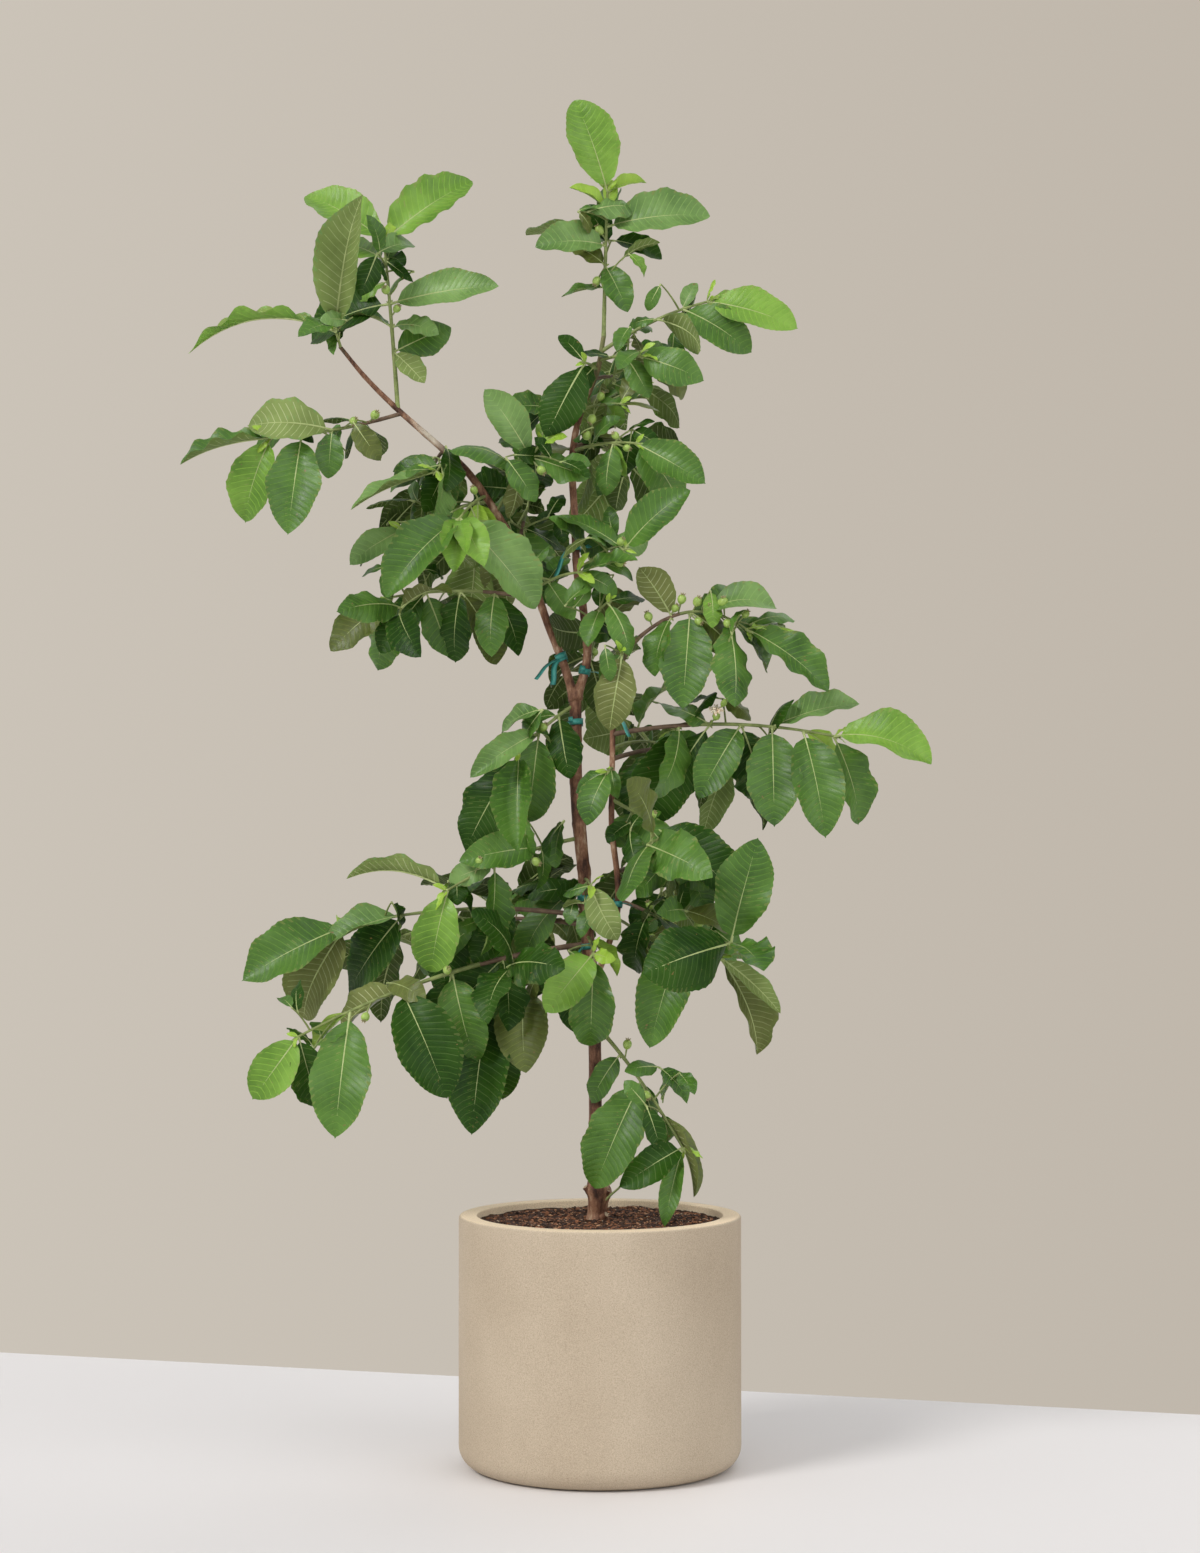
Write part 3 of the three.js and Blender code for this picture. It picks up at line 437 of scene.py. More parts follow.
class Shoot:
    """A stem with its leaves, side twigs and fruits, grown by the dice."""

    def __init__(self, order, row):
        self.name, limb_name, height, place, self.leaf_length, self.aims, self.twigs, self.fruits = row
        self.order = order
        limb = limbs[limb_name]
        foot = limb.point(limb.share_at(height))
        tip = vec(*place[:3])
        self.curve = Bow(foot, tip, place[3] if len(place) > 3 else BOW)
        self.length = float(np.linalg.norm(tip - foot))
        self.leaves, self.side_twigs, self.fine_twigs, self.fruit_list = [], [], [], []

    def radius(self, t):
        return mix(1.6 + 0.005 * self.length, 1.3, t)

    def grow(self):
        dice = Dice(self.order + 1)
        self.grow_leaves(dice)
        self.grow_twigs(dice)
        self.grow_fruits(dice)

    def grow_leaves(self, dice):
        nodes = math.ceil(len(self.aims) / 2)
        for i, (angle, share, *chosen) in enumerate(self.aims):
            chosen = chosen[0] if chosen else {}
            t = 1 - (i // 2) * LEAFY / max(nodes - 1, 1)
            to_back = -1 if i % 2 == 0 else 1
            lean = to_back * dice.between(0.08, 0.4)
            length = self.leaf_length * share * dice.between(0.96, 1.04)
            width = length * dice.between(*LEAF_WIDTH)
            arch = dice.between(0.12, 0.5)
            turn = dice.between(-26, 26)
            lean, arch, turn = chosen.get("lean", lean), chosen.get("arch", arch), chosen.get("turn", turn)

            def stance(attempt):
                way = 1 if attempt % 2 else -1
                return (self.curve.point(t),
                        aim_of(angle + attempt * 9 * way, lean + attempt * 0.16 * to_back),
                        length * (1 - 0.04 * attempt), width, arch, math.radians(turn + 9 * attempt))

            self.leaves += settle(stance, self, i, bool(chosen) or i < 2)

    def grow_twigs(self, dice):
        for attempt in range(TWIG["tries"]):
            if len(self.side_twigs) == self.twigs:
                break
            to_back = 1 if (self.order + attempt) % 2 else -1
            foot = self.curve.point(dice.between(0.45, 0.9))
            heading = aim_of(dice.between(0, 360), to_back * TWIG["lean"])
            length = self.leaf_length * dice.between(0.4, 0.6)
            curve = Bow(foot, foot + length * heading, TWIG["bow"])
            body = Body(tube_rings(curve, twig_radius, (0, 1 / 3, 2 / 3, 1), 4), self.name)
            if is_clear(body, self.name):
                self.side_twigs.append(curve)
                grown.append(body)
                self.grow_twig_leaves(curve, to_back, dice)

    def grow_twig_leaves(self, curve, to_back, dice):
        apart = 360 / TWIG["leaves"]
        turn = dice.between(0, apart)
        for j in range(TWIG["leaves"]):
            length = self.leaf_length * dice.between(0.7, 0.95)
            width = length * dice.between(*LEAF_WIDTH)
            arch = dice.between(0.15, 0.5)
            roll = dice.between(-0.5, 0.5)

            def stance(attempt):
                angle = turn + apart * j + TWIG["leaf_turn"] * attempt
                return (curve.point(1 if j == TWIG["leaves"] - 1 else 0.8),
                        aim_of(angle, to_back * (TWIG["leaf_lean"] + 0.1 * attempt)),
                        length * (1 - 0.04 * attempt), width, arch, roll)

            self.leaves += settle(stance, self, TWIG_LEAF + j)

    def grow_fruits(self, dice):
        for _ in range(TWIG["tries"]):
            if len(self.fruit_list) == self.fruits:
                break
            foot = self.curve.point(dice.between(0.35, 0.95))
            hang = aim_of(dice.between(200, 340), dice.between(-0.9, -0.3))
            centre = foot + 4 * FRUIT_RADIUS * hang
            berry = Body([
                ring(centre + step * FRUIT_RADIUS * hang, hang, width * FRUIT_RADIUS + ELBOW_ROOM, 5)
                for step, width in ((-1.05, 0.3), (-0.4, 0.95), (0.45, 0.92), (1.05, 0.25))])
            stalk = Body([ring(p, hang, 0.9 + ELBOW_ROOM, 4) for p in (foot, centre)])
            if is_clear(berry, self.name) and is_clear(stalk, self.name):
                self.fruit_list.append((foot, centre, hang))
                grown.extend([berry, stalk])

    def grow_finer(self, dice):
        """Thin twigs with smaller leaves that fill a spray where it is open, and stay inside its reach."""
        feet = np.array([leaf.middle(s) for leaf in self.leaves for s in (0.5, 1)] or [self.curve.point(1)])
        low = np.maximum(feet.min(0) - 6, CAD_LOW + 8)
        high = np.minimum(feet.max(0) + 6, CAD_HIGH - 8)
        for _ in range(FINER["tries"]):
            if len(self.fine_twigs) == FINER["twigs"]:
                break
            foot = self.curve.point(dice.between(0.25, 0.97))
            heading = aim_of(dice.between(0, 360), dice.between(-1.6, 1.6))
            curve = Bow(foot, foot + dice.between(*FINER["length"]) * heading, TWIG["bow"])
            if not is_clear(Body(tube_rings(curve, fine_radius, (0.15, 0.6, 1), 4), self.name), self.name):
                continue
            leaves = []
            for j in range(FINER["leaves"]):
                turn, roll = dice.between(0, 120) + 120 * j, dice.between(-0.6, 0.6)
                length, lean = dice.between(*FINER["leaf"]), dice.between(-0.9, 0.9)

                def stance(stage):
                    return (curve.point(1 if j else 0.7), aim_of(turn + 31 * stage, lean),
                            length * (1 - 0.05 * stage), length * 0.5, 0.35, roll)

                leaves += [leaf for leaf in settle(stance, self, FINE_LEAF + j)
                           if (leaf.middle(1) > low).all() and (leaf.middle(1) < high).all()]
            if leaves:
                self.fine_twigs.append(curve)
                self.leaves += leaves


def twig_radius(t):
    return mix(1.7, 1.3, t)


def fine_radius(t):
    return mix(1.15, 0.8, t)


limbs = {name: Limb(name) for name in LIMBS}
for limb in limbs.values():
    remember(limb, limb.radius, limb.steps, limb.name)
shoots = [Shoot(order, row) for order, row in enumerate(SHOOTS)]
for shoot in shoots:
    remember(shoot.curve, shoot.radius, max(3, round(shoot.length / STEM_STEP)), shoot.name)
for shoot in shoots:
    shoot.grow()
for shoot in shoots:
    shoot.grow_finer(Dice(FINER["seed"] + shoot.order))


# ------------------------------------------------------------------ making pieces
class Pile:
    """Points and faces gathered for one mesh, each face with the number of its finish."""

    def __init__(self):
        self.points, self.faces, self.finishes, self.count = [], [], [], 0
        self.crisp = []

    def add(self, points, faces, finishes=0, crisp=()):
        """crisp names the points whose edges to each other keep a hard shade."""
        self.crisp += [corner + self.count for corner in crisp]
        self.points.append(np.asarray(points, float))
        self.faces += [tuple(int(corner) + self.count for corner in face) for face in faces]
        self.finishes += [finishes] * len(faces) if isinstance(finishes, int) else finishes
        self.count += len(points)

    def add_tube(self, rings, finishes=0):
        """A closed tube of rings, with a fan at both ends."""
        self.add(np.concatenate(rings), tube_faces(len(rings), len(rings[0])), finishes)

    def piece(self, name, materials, slot):
        mesh = bpy.data.meshes.new(name)
        mesh.from_pydata((np.concatenate(self.points) * MM).tolist(), [], self.faces)
        for material in materials:
            mesh.materials.append(material)
        mesh.polygons.foreach_set("material_index", self.finishes)
        mesh.polygons.foreach_set("use_smooth", [True] * len(self.faces))
        mesh.update()
        if self.crisp:
            on_margin = np.zeros(self.count, bool)
            on_margin[self.crisp] = True
            ends = np.zeros(2 * len(mesh.edges), int)
            mesh.edges.foreach_get("vertices", ends)
            mesh.edges.foreach_set("use_edge_sharp", on_margin[ends].reshape(-1, 2).all(axis=1))
        return settled(name, mesh, slot)


def in_scene(name, data):
    thing = bpy.data.objects.new(name, data)
    bpy.context.scene.collection.objects.link(thing)
    return thing


def settled(name, mesh, slot):
    piece = in_scene(name, mesh)
    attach(piece, "root")
    return piece


def one_piece(name, points, faces, material, slot):
    pile = Pile()
    pile.add(points, faces)
    return pile.piece(name, [material], slot)


def tube_faces(rows, around):
    faces = []
    for r in range(rows - 1):
        for i in range(around):
            a, b = r * around + i, r * around + (i + 1) % around
            faces.append((a, b, b + around, a + around))
    last = (rows - 1) * around
    faces.append(tuple(reversed(range(around))))
    faces.append(tuple(last + i for i in range(around)))
    return faces


def renumbered(faces):
    """The points that faces use, in order, and the new number of each."""
    used = sorted({corner for face in faces for corner in face})
    return used, {old: new for new, old in enumerate(used)}


# ------------------------------------------------------------------ node trees and finishes
class Wiring:
    """A node tree in the making. Each input takes a value or the socket that feeds it."""

    def __init__(self, tree):
        self.tree = tree

    def put(self, kind, inputs=None, **settings):
        node = self.tree.nodes.new(kind)
        for name, value in settings.items():
            setattr(node, name, value)
        return self.feed(node, inputs or {})

    def feed(self, node, inputs):
        for name, value in inputs.items():
            if isinstance(value, bpy.types.NodeSocket):
                self.tree.links.new(value, node.inputs[name])
            else:
                node.inputs[name].default_value = value
        return node


class Finish(Wiring):
    """A material whose patterns lie on Object coordinates."""

    def __init__(self, name):
        self.material = bpy.data.materials.new(name)
        self.material.use_nodes = True
        super().__init__(self.material.node_tree)
        self.shader = self.tree.nodes["Principled BSDF"]
        self.place = self.put("ShaderNodeTexCoord").outputs["Object"]

    def noise(self, scale, detail=3.0, stretch=(1, 1, 1), roughness=0.5):
        mapping = self.put("ShaderNodeMapping", {"Scale": stretch, "Vector": self.place})
        return self.put("ShaderNodeTexNoise", {"Scale": scale, "Detail": detail, "Roughness": roughness,
                                               "Vector": mapping.outputs["Vector"]}).outputs["Fac"]

    def ramp(self, value, *stops):
        """A colour ramp over a value: stops are (place, colour)."""
        node = self.put("ShaderNodeValToRGB", {"Fac": value})
        elements = node.color_ramp.elements
        while len(elements) < len(stops):
            elements.new(0.5)
        for element, (place, colour) in zip(elements, stops):
            element.position = place
            element.color = (*colour, 1)
        return node.outputs["Color"]

    def span(self, value, **limits):
        """A value mapped from one range to another, as from_min, from_max, to_min and to_max."""
        inputs = {name.replace("_", " ").title(): limit for name, limit in limits.items()}
        return self.put("ShaderNodeMapRange", {**inputs, "Value": value}).outputs["Result"]

    def blend(self, a, b, factor, way="MIX"):
        b = b if isinstance(b, bpy.types.NodeSocket) else (*b, 1)
        return self.put("ShaderNodeMix", {"Factor": factor, "A": a, "B": b}, data_type="RGBA",
                        blend_type=way).outputs["Result"]

    def skin(self, colour, unevenness, dull, shiny, height, depth, strength, **scalars):
        """Colour, roughness from dull to shiny places, relief, and plain numbers set on the shader."""
        rough = self.span(unevenness, from_min=0.3, from_max=0.7, to_min=dull, to_max=shiny)
        relief = self.put("ShaderNodeBump", {"Strength": strength, "Distance": depth, "Height": height})
        self.feed(self.shader, {"Base Color": colour, "Roughness": rough, "Normal": relief.outputs["Normal"]})
        self.feed(self.shader, {name.replace("_", " "): value for name, value in scalars.items()})
        return self.material


def leaf_finish(name, dark, light, rough, gloss, speck=None):
    """Leaf skin: two greens that drift from leaf to leaf, the fine net of veins, and a few dry specks."""
    leaf = Finish(name)
    colour = leaf.ramp(leaf.noise(17, 5, roughness=0.6), (0.34, dark), (0.66, light))
    if speck:
        spots = leaf.ramp(leaf.noise(130, 3, roughness=0.7), (0.685, (0, 0, 0)), (0.72, (1, 1, 1)))
        colour = leaf.blend(colour, speck, spots)
    net = leaf.put("ShaderNodeTexVoronoi", {"Scale": 520, "Vector": leaf.place}, feature="DISTANCE_TO_EDGE")
    return leaf.skin(colour, leaf.noise(120, 2), rough - 0.06, rough + 0.08,
                     net.outputs["Distance"], 0.0006, 0.35, Specular_IOR_Level=gloss,
                     Subsurface_Weight=0.1, Subsurface_Radius=(0.5, 1.0, 0.25), Subsurface_Scale=0.0012)


def plain_finish(name, dark, light, rough, scale=90, depth=0.0003):
    plain = Finish(name)
    drift = plain.noise(scale, 4)
    return plain.skin(plain.ramp(drift, (0.35, dark), (0.65, light)), drift, rough - 0.08, rough + 0.08,
                      plain.noise(scale * 5, 3), depth, 0.5)


DRY = (0.20, 0.135, 0.045)
VEIN_GREEN, UNDER_VEIN_GREEN = (0.42, 0.52, 0.20), (0.56, 0.60, 0.34)
# Each spray's tint: upper side dark and light, underside dark and light.
TINTS = {
    # The first tint is partly a darker green and partly painted shade for leaves that lie deep in the crown.
    "deep": ((0.011, 0.040, 0.003), (0.032, 0.090, 0.007), (0.050, 0.080, 0.016), (0.088, 0.130, 0.030)),
    "mid": ((0.034, 0.096, 0.010), (0.098, 0.218, 0.028), (0.115, 0.165, 0.038), (0.185, 0.258, 0.066)),
    "fresh": ((0.094, 0.212, 0.018), (0.218, 0.400, 0.052), (0.170, 0.250, 0.055), (0.260, 0.365, 0.088)),
    # The sage tint is partly a greyer green and partly a painted sheen of leaves that face the light.
    "sage": ((0.078, 0.165, 0.034), (0.196, 0.335, 0.094), (0.140, 0.190, 0.050), (0.236, 0.310, 0.096)),
    "olive": ((0.072, 0.098, 0.015), (0.136, 0.168, 0.034), (0.112, 0.134, 0.036), (0.180, 0.206, 0.062)),
    "young": ((0.215, 0.375, 0.027), (0.360, 0.545, 0.066), (0.270, 0.400, 0.070), (0.360, 0.500, 0.110)),
}


def tint_finishes(tint):
    dark, light, under_dark, under_light = TINTS[tint]
    # The darkest tint gets less gloss, to stand in for the shade its leaves lie in.
    gloss = 0.15 if tint == "deep" else 0.36
    vein = tuple(mix(a, b, 0.12) for a, b in zip(light, VEIN_GREEN))
    under_vein = tuple(mix(a, b, 0.55) for a, b in zip(under_light, UNDER_VEIN_GREEN))
    return [leaf_finish(f"{tint}_{part}", *looks) for part, *looks in (
        ("leaf_top", dark, light, 0.37, gloss, None if tint == "young" else DRY),
        ("leaf_back", under_dark, under_light, 0.66, 0.2),
        ("vein_top", light, vein, 0.5, 0.2),
        ("vein_back", under_light, under_vein, 0.6, 0.2))]


# ------------------------------------------------------------------ leaves
BLADE = {"thickness": 0.5, "vein": 0.0042, "quilt": 0.0125, "sweep": 0.6, "scallop": 0.014, "taper": 0.16,
         "columns": (-1, -0.82, -0.45, 0, 0.45, 0.82, 1)}
VEIN_SPACING = 7.0
NEAR_BOX = 12  # a side twig's leaf that comes nearer than this to the body's limits is made shorter

# Leaves with a stance of their own, by spray and number: how wide they are as a share, how far folded,
# and how far they face the front, from 0 for as they grew to 1.
POSED = {
    "centre_right": {0: (0.9, 0.3, 0.8)}, "centre_top": {2: (0.95, 0.3, 0.7)},
    "crown_right": {0: (0.92, 0.25, 0.8), 1: (0.6, 0.6, 0)},
    "crown_top": {0: (1.02, 0.35, 0.9), 1: (0.8, 0.5, 0), 2: (0.8, 0.5, 0), 4: (0.95, 0.35, 0.85),
                  5: (0.9, 0.8, 0.6), 6: (0.9, 0.4, 0.5), 8: (1.0, 0.3, 0.8)},
    "foot_shoot": {0: (1.1, 0.5, 0.6), 1: (0.58, 0.5, 0.5), 2: (0.45, 0.8, 0), 4: (0.94, 0.35, 0.6)},
    "front_rosette": {2: (0.7, 0.9, 0)}, "leader_right": {0: (0.85, 0.4, 0.4)},
    "left_deep": {0: (0.9, 0.3, 0.5)},
    "left_foot": {2: (1.0, 0.25, 0.6), 3: (0.5, 0.9, 0), 4: (1.0, 0.35, 0.5)},
    "left_front": {0: (0.92, 0.5, 0.4), 1: (0.98, 0.45, 0.5), 2: (0.8, 0.5, 0.7), 3: (0.9, 0.5, 0.7),
                   200: (1.05, 0.6, 1.0), 201: (1.05, 0.4, 1.0)},
    "left_high": {0: (0.85, 0.3, 0.4), 1: (0.8, 0.4, 0.4), 2: (0.6, 0.5, 0), 6: (0.72, 0.3, 0.6),
                  7: (1.1, 0.3, 0.8), 10: (0.95, 0.3, 0.8)},
    "left_inner": {0: (0.8, 0.9, 0), 2: (0.6, 0.6, 0), 3: (1.0, 0.3, 0.7)},
    "left_low": {0: (0.55, 0.7, 0), 1: (1.0, 0.3, 0.8), 4: (0.75, 0.3, 0)},
    "left_mid": {0: (0.75, 0.5, 0), 1: (1.0, 0.3, 0.6), 2: (1.0, 0.3, 0.6), 4: (1.05, 0.25, 0.9)},
    "left_tip": {0: (0.62, 0.8, 0.8), 1: (0.24, 0.8, 0)}, "left_under": {0: (0.8, 0.3, 0)},
    "left_wing": {0: (0.9, 0.35, 0.5), 2: (0.75, 0.5, 0)},
    "right_far": {0: (0.98, 0.4, 0.5), 2: (0.95, 0.35, 0.5), 4: (1.05, 0.25, 0.8), 5: (0.8, 0.4, 0.45),
                  6: (1.0, 0.3, 0.7)},
    "right_foot": {0: (0.55, 0.5, 0), 1: (0.7, 0.6, 0), 2: (0.82, 0.4, 0.7)},
    "right_low": {0: (0.95, 0.35, 0.6), 2: (0.95, 0.4, 0.5)},
    "right_mid": {0: (0.8, 0.4, 0.4), 3: (1.1, 0.3, 0.5), 4: (1.1, 0.3, 0.4), 6: (1.0, 0.25, 0.7),
                  9: (1.25, 0.3, 0.8)},
}
# What else is set for single leaves, in place of what the dice give.
SHAPED = {
    "foot_shoot": {0: {"length": 82, "wave": 4, "twist": 0.6},
                   1: {"aim": (-22, -28, -81), "length": 87, "wave": 3, "blunt": 0.62},
                   4: {"nibble": 0.05, "waves": 3.2}},
    "left_high": {1: {"nibble": 0.012, "wave": 2.6, "waves": 5}},
    "left_mid": {1: {"blunt": 0.6}, 2: {"blunt": 0.6}},
    "left_tip": {0: {"blunt": 0.74, "twist": 0.45, "droop": 0.2}, 1: {"arch": 0.55, "blunt": 0.8}},
    "left_wing": {0: {"blunt": 0.62}}, "right_far": {0: {"arch": 0.6, "blunt": 0.55}},
    "right_foot": {2: {"blunt": 0.62}},
}
# Young pairs at a shoot's tip that have grown: aim in degrees, lean, length.
YOUNG_PAIRS = {
    "left_front": ((266, -0.62, 70), (296, -0.62, 72)), "front_rosette": ((330, -0.6, 34), (60, -0.3, 20)),
    "left_high": ((78, -0.1, 26), (104, 0.2, 24)), "crown_right": ((64, -0.2, 26), (20, 0.4, 20)),
}
# Leaves that show their underside.
UNDERSIDES = {
    "centre_top": (5,), "left_foot": (3, 5), "left_high": (10,), "left_mid": (4,), "left_tip": (0, 1),
    "left_wing": (1,), "right_foot": (0, 1), "right_mid": (9,), "stem_front": (0,), "third_olive": (0,),
    "trunk_front": (0,),
}


# How far a leaf may sway from the stance that it grew in.
SWAY = {"posed": 0.02, "chosen": 0.035, "free": 0.12, "on_twig": 0.17}


def shows_underside(leaf):
    return leaf.index in UNDERSIDES.get(leaf.shoot.name, ())


def leaf_character(leaf, dice):
    """What makes one leaf unlike the next: its stance, the waves of its edge, twist, droop of its tip."""
    posed = POSED.get(leaf.shoot.name, {}).get(leaf.index)
    own = SHAPED.get(leaf.shoot.name, {}).get(leaf.index, {})
    leaf.aim = unit(vec(*own["aim"])) if "aim" in own else leaf.aim
    leaf.length = own.get("length", leaf.length)
    kind = "posed" if posed else "chosen" if leaf.chosen else "free" if leaf.index < TWIG_LEAF else "on_twig"
    sway = SWAY[kind]
    leaf.aim = unit(leaf.aim + dice.normal(0, sway, 3))
    side = unit(leaf.side - leaf.aim * np.dot(leaf.side, leaf.aim))
    leaf.side = unit(swing(side, np.cross(leaf.aim, side), dice.normal(0, 2.8 * sway)))
    if posed:
        level = unit(np.cross(leaf.aim, FRONT_LIGHT * vec(1, 1, 0.45)))
        leaf.side = unit(mix(leaf.side, level if np.dot(level, leaf.side) > 0 else -level, posed[2]))
    leaf.lift = unit(np.cross(leaf.side, leaf.aim))
    cupped = dice.uniform(0.25, 1.9) if dice.uniform() < 0.68 else dice.uniform(-1.6, -0.2)
    leaf.character = {
        "full": dice.uniform(0.92, 1.10), "blunt": dice.uniform(0.44, 0.60),
        "waves": dice.uniform(1.5, 4.0), "phase": dice.uniform(0, 6.28, 2),
        "wave": leaf.length * dice.uniform(0.012, 0.050), "nibble": dice.uniform(0.012, 0.045),
        "twist": dice.normal(0, 0.2 if leaf.chosen else 0.42), "droop": dice.uniform(-0.05, 0.32),
        "sag": dice.uniform(-0.02, 0.06), "fold": cupped * LEAF_FOLD, "swell": dice.uniform(0.9, 1.06),
        "point": dice.uniform(0.0, 0.02),
    }
    if posed:
        leaf.character.update(swell=posed[0], fold=posed[1] * 1.35, droop=0.08, sag=0.0)
        leaf.character["twist"] *= 0.4
        leaf.character["wave"] *= 0.7
    leaf.character.update(own)
    leaf.arch = own.get("arch", leaf.arch)
    tip = leaf.foot + leaf.aim * leaf.length
    beyond = max(np.maximum(CAD_LOW + NEAR_BOX - tip, tip - CAD_HIGH + NEAR_BOX)[:2].max(), 0)
    if leaf.index >= TWIG_LEAF and beyond:
        leaf.width *= 1 - 0.5 * beyond / leaf.length
        leaf.length -= beyond


def blade_half(s, full, blunt):
    """Half the width at a share of the length, as a share of the full half width."""
    t = clamp((s - PETIOLE) / (1 - PETIOLE))
    return max(math.sin(math.pi * t ** full), 0) ** (blunt + BLADE["taper"] * t)


def leaf_surface(leaf, row, across, scallop=0):
    """A place on the leaf's middle surface, and the way up from it there."""
    c = leaf.character
    s = min(row + BLADE["sweep"] * row * (1 - row) * abs(across) ** 1.15, 1.0)
    turn = c["twist"] * (s - 0.3)
    flat_up = leaf.normal(s)
    side, up = swing(leaf.side, flat_up, turn), swing(flat_up, -leaf.side, turn)
    wave_phase, nibble_phase = c["phase"] if across < 0 else c["phase"][::-1]
    half = leaf.width / 2 * blade_half(s, c["full"], c["blunt"]) * c["swell"]
    half *= 1 + scallop + c["nibble"] * math.sin(2 * math.pi * (c["waves"] + 0.7) * s + nibble_phase)
    rise = half * c["fold"] * abs(across) ** 1.4
    wave = math.sin(2 * math.pi * c["waves"] * s + wave_phase)
    rise += c["wave"] * across ** 2 * wave * min(1, 4 * (1 - s))
    rise -= leaf.length * (c["droop"] * max(s - 0.5, 0) ** 2 * 1.3 + c["sag"] * s * s)
    return leaf.middle(s) + side * half * across + up * rise, up, half


def blade_rows(leaf):
    """Shares of the length with a row of points, and if each is in a vein (-1), between two (1) or neither."""
    veins = int(clamp(leaf.length * (1 - PETIOLE) / VEIN_SPACING, 5, 16))
    strip = BLADE["vein"] * 100 / max(leaf.length, 60)
    share = (1 - PETIOLE) / (veins + 0.9)
    rows, kinds = [PETIOLE + 0.1 * share], [0]
    for k in range(veins):
        r = PETIOLE + share * (k + 0.75)
        rows += [r - strip, r + strip, r + share / 2]
        kinds += [-1, -1, 1]
    return rows + [1 - 0.12 * share], kinds + [0]


def add_leaf(pile, leaf, flipped):
    """A closed thin blade. Rows follow the side veins, which lie sunk between raised strips."""
    rows, kinds = blade_rows(leaf)
    columns, thick = BLADE["columns"], BLADE["thickness"] / 2
    quilt = BLADE["quilt"] * min(leaf.width, 45)
    tops, backs = [], []
    for r, kind in zip(rows, kinds):
        for u in columns:
            place, up, half = leaf_surface(leaf, r, u, BLADE["scallop"] * kind if abs(u) == 1 else 0)
            relief = kind * quilt * min(1, 3.2 * abs(u)) * (1 - abs(u) ** 6) * min(1, half / 6)
            body = thick * (1 - abs(u) ** 8)
            tops.append(place + up * (relief + body))
            backs.append(place + up * (relief - body))
    wide, last, count = len(columns), len(rows) - 1, len(tops)
    foot, end = 2 * count, 2 * count + 1
    tip = leaf_surface(leaf, 1.0, 0)[0] + leaf.aim * leaf.length * leaf.character["point"]
    points = tops + backs + [leaf.middle(PETIOLE * 0.9), tip]

    def corner(layer, r, j):
        return r * wide + j + (0 if layer == 0 or j in (0, wide - 1) else count)

    faces, finishes = [], []
    for layer in (0, 1):
        # A flipped leaf shows its underside to the light.
        under = int(layer != flipped)
        way = 1 if layer == 0 else -1
        for r in range(last):
            is_vein = kinds[r] == kinds[r + 1] == -1
            for j in range(wide - 1):
                faces.append([corner(layer, r, j), corner(layer, r, j + 1),
                              corner(layer, r + 1, j + 1), corner(layer, r + 1, j)][::way])
                finishes.append(under + 2 * (is_vein and 0 < j < wide - 2))
        for j in range(wide - 1):
            faces += [[foot, corner(layer, 0, j + 1), corner(layer, 0, j)][::way],
                      [end, corner(layer, last, j), corner(layer, last, j + 1)][::way]]
            finishes += [under] * 2
    used, new = renumbered(faces)
    margin = [new[n] for n in [r * wide + j for r in range(len(rows)) for j in (0, wide - 1)] + [foot, end]]
    pile.add([points[n] for n in used], [[new[n] for n in face] for face in faces], finishes, margin)


# Each spray's tints in the order of its leaves, from the tip: (d)ark green and painted shade, (m)id, (f)resh,
# (s)age green and painted sheen, (o)live, (y)oung. What comes after them falls to the dice round the spray's
# last tint.
SPRAY_TINTS = {
    # The second leaf of left_tip takes the fresh tint as painted light, against the shade on its folded face.
    "left_tip": "sfo", "left_high": "ffdfdfsdsmsm", "left_mid": "mfmdsmdd", "left_under": "smsmdmd",
    "left_front": "msyym", "left_dark": "sdmmdd", "left_lower": "omdmodmdd", "left_wing": "mosddmdd",
    "centre_top": "yfsmmomd", "crown_top": "fyyyssssmodm", "crown_right": "ffmssmom", "crown_side": "mommdos",
    "leader_right": "mmmfmdd", "leader_bud": "oomo", "leader_dark": "dddd", "leader_left": "mdmd",
    "fork_front": "mmmm", "leader_low": "mdmd", "centre_right": "mmmm", "right_mid": "mymmsmmomo",
    "stem_front": "omd", "right_far": "fmmymsmdmdmd", "third_left": "mmmd", "right_dark": "dddd",
    "third_olive": "ood", "left_inner": "mdsmdm", "left_low": "sfmsmm", "trunk_left": "mmdd",
    "trunk_front": "sms", "front_rosette": "fmyf", "left_deep": "ddomdd", "left_foot": "fdmydomddd",
    "right_low": "mmdmmmd", "right_foot": "sommdd", "foot_shoot": "dmommmm",
    "back_high": "md", "back_left": "dm", "back_right": "dmm", "back_mid": "dmd",
}
TINT_LETTERS = {tint[0]: tint for tint in TINTS}
# The dice's odds: a tint for each draw below a limit. Leaves at the back, and in sprays that end in the dark
# tint, draw from the darker odds as painted shade for leaves in the crown's shadow.
DARK_AND_SHADED_ODDS = ((0.5, "deep"), (0.88, "mid"), (1, "olive"))
LIGHT_ODDS = ((0.5, "mid"), (0.64, "deep"), (0.82, "fresh"), (0.92, "sage"), (1, "olive"))
LONG_YOUNG_LEAF = 40


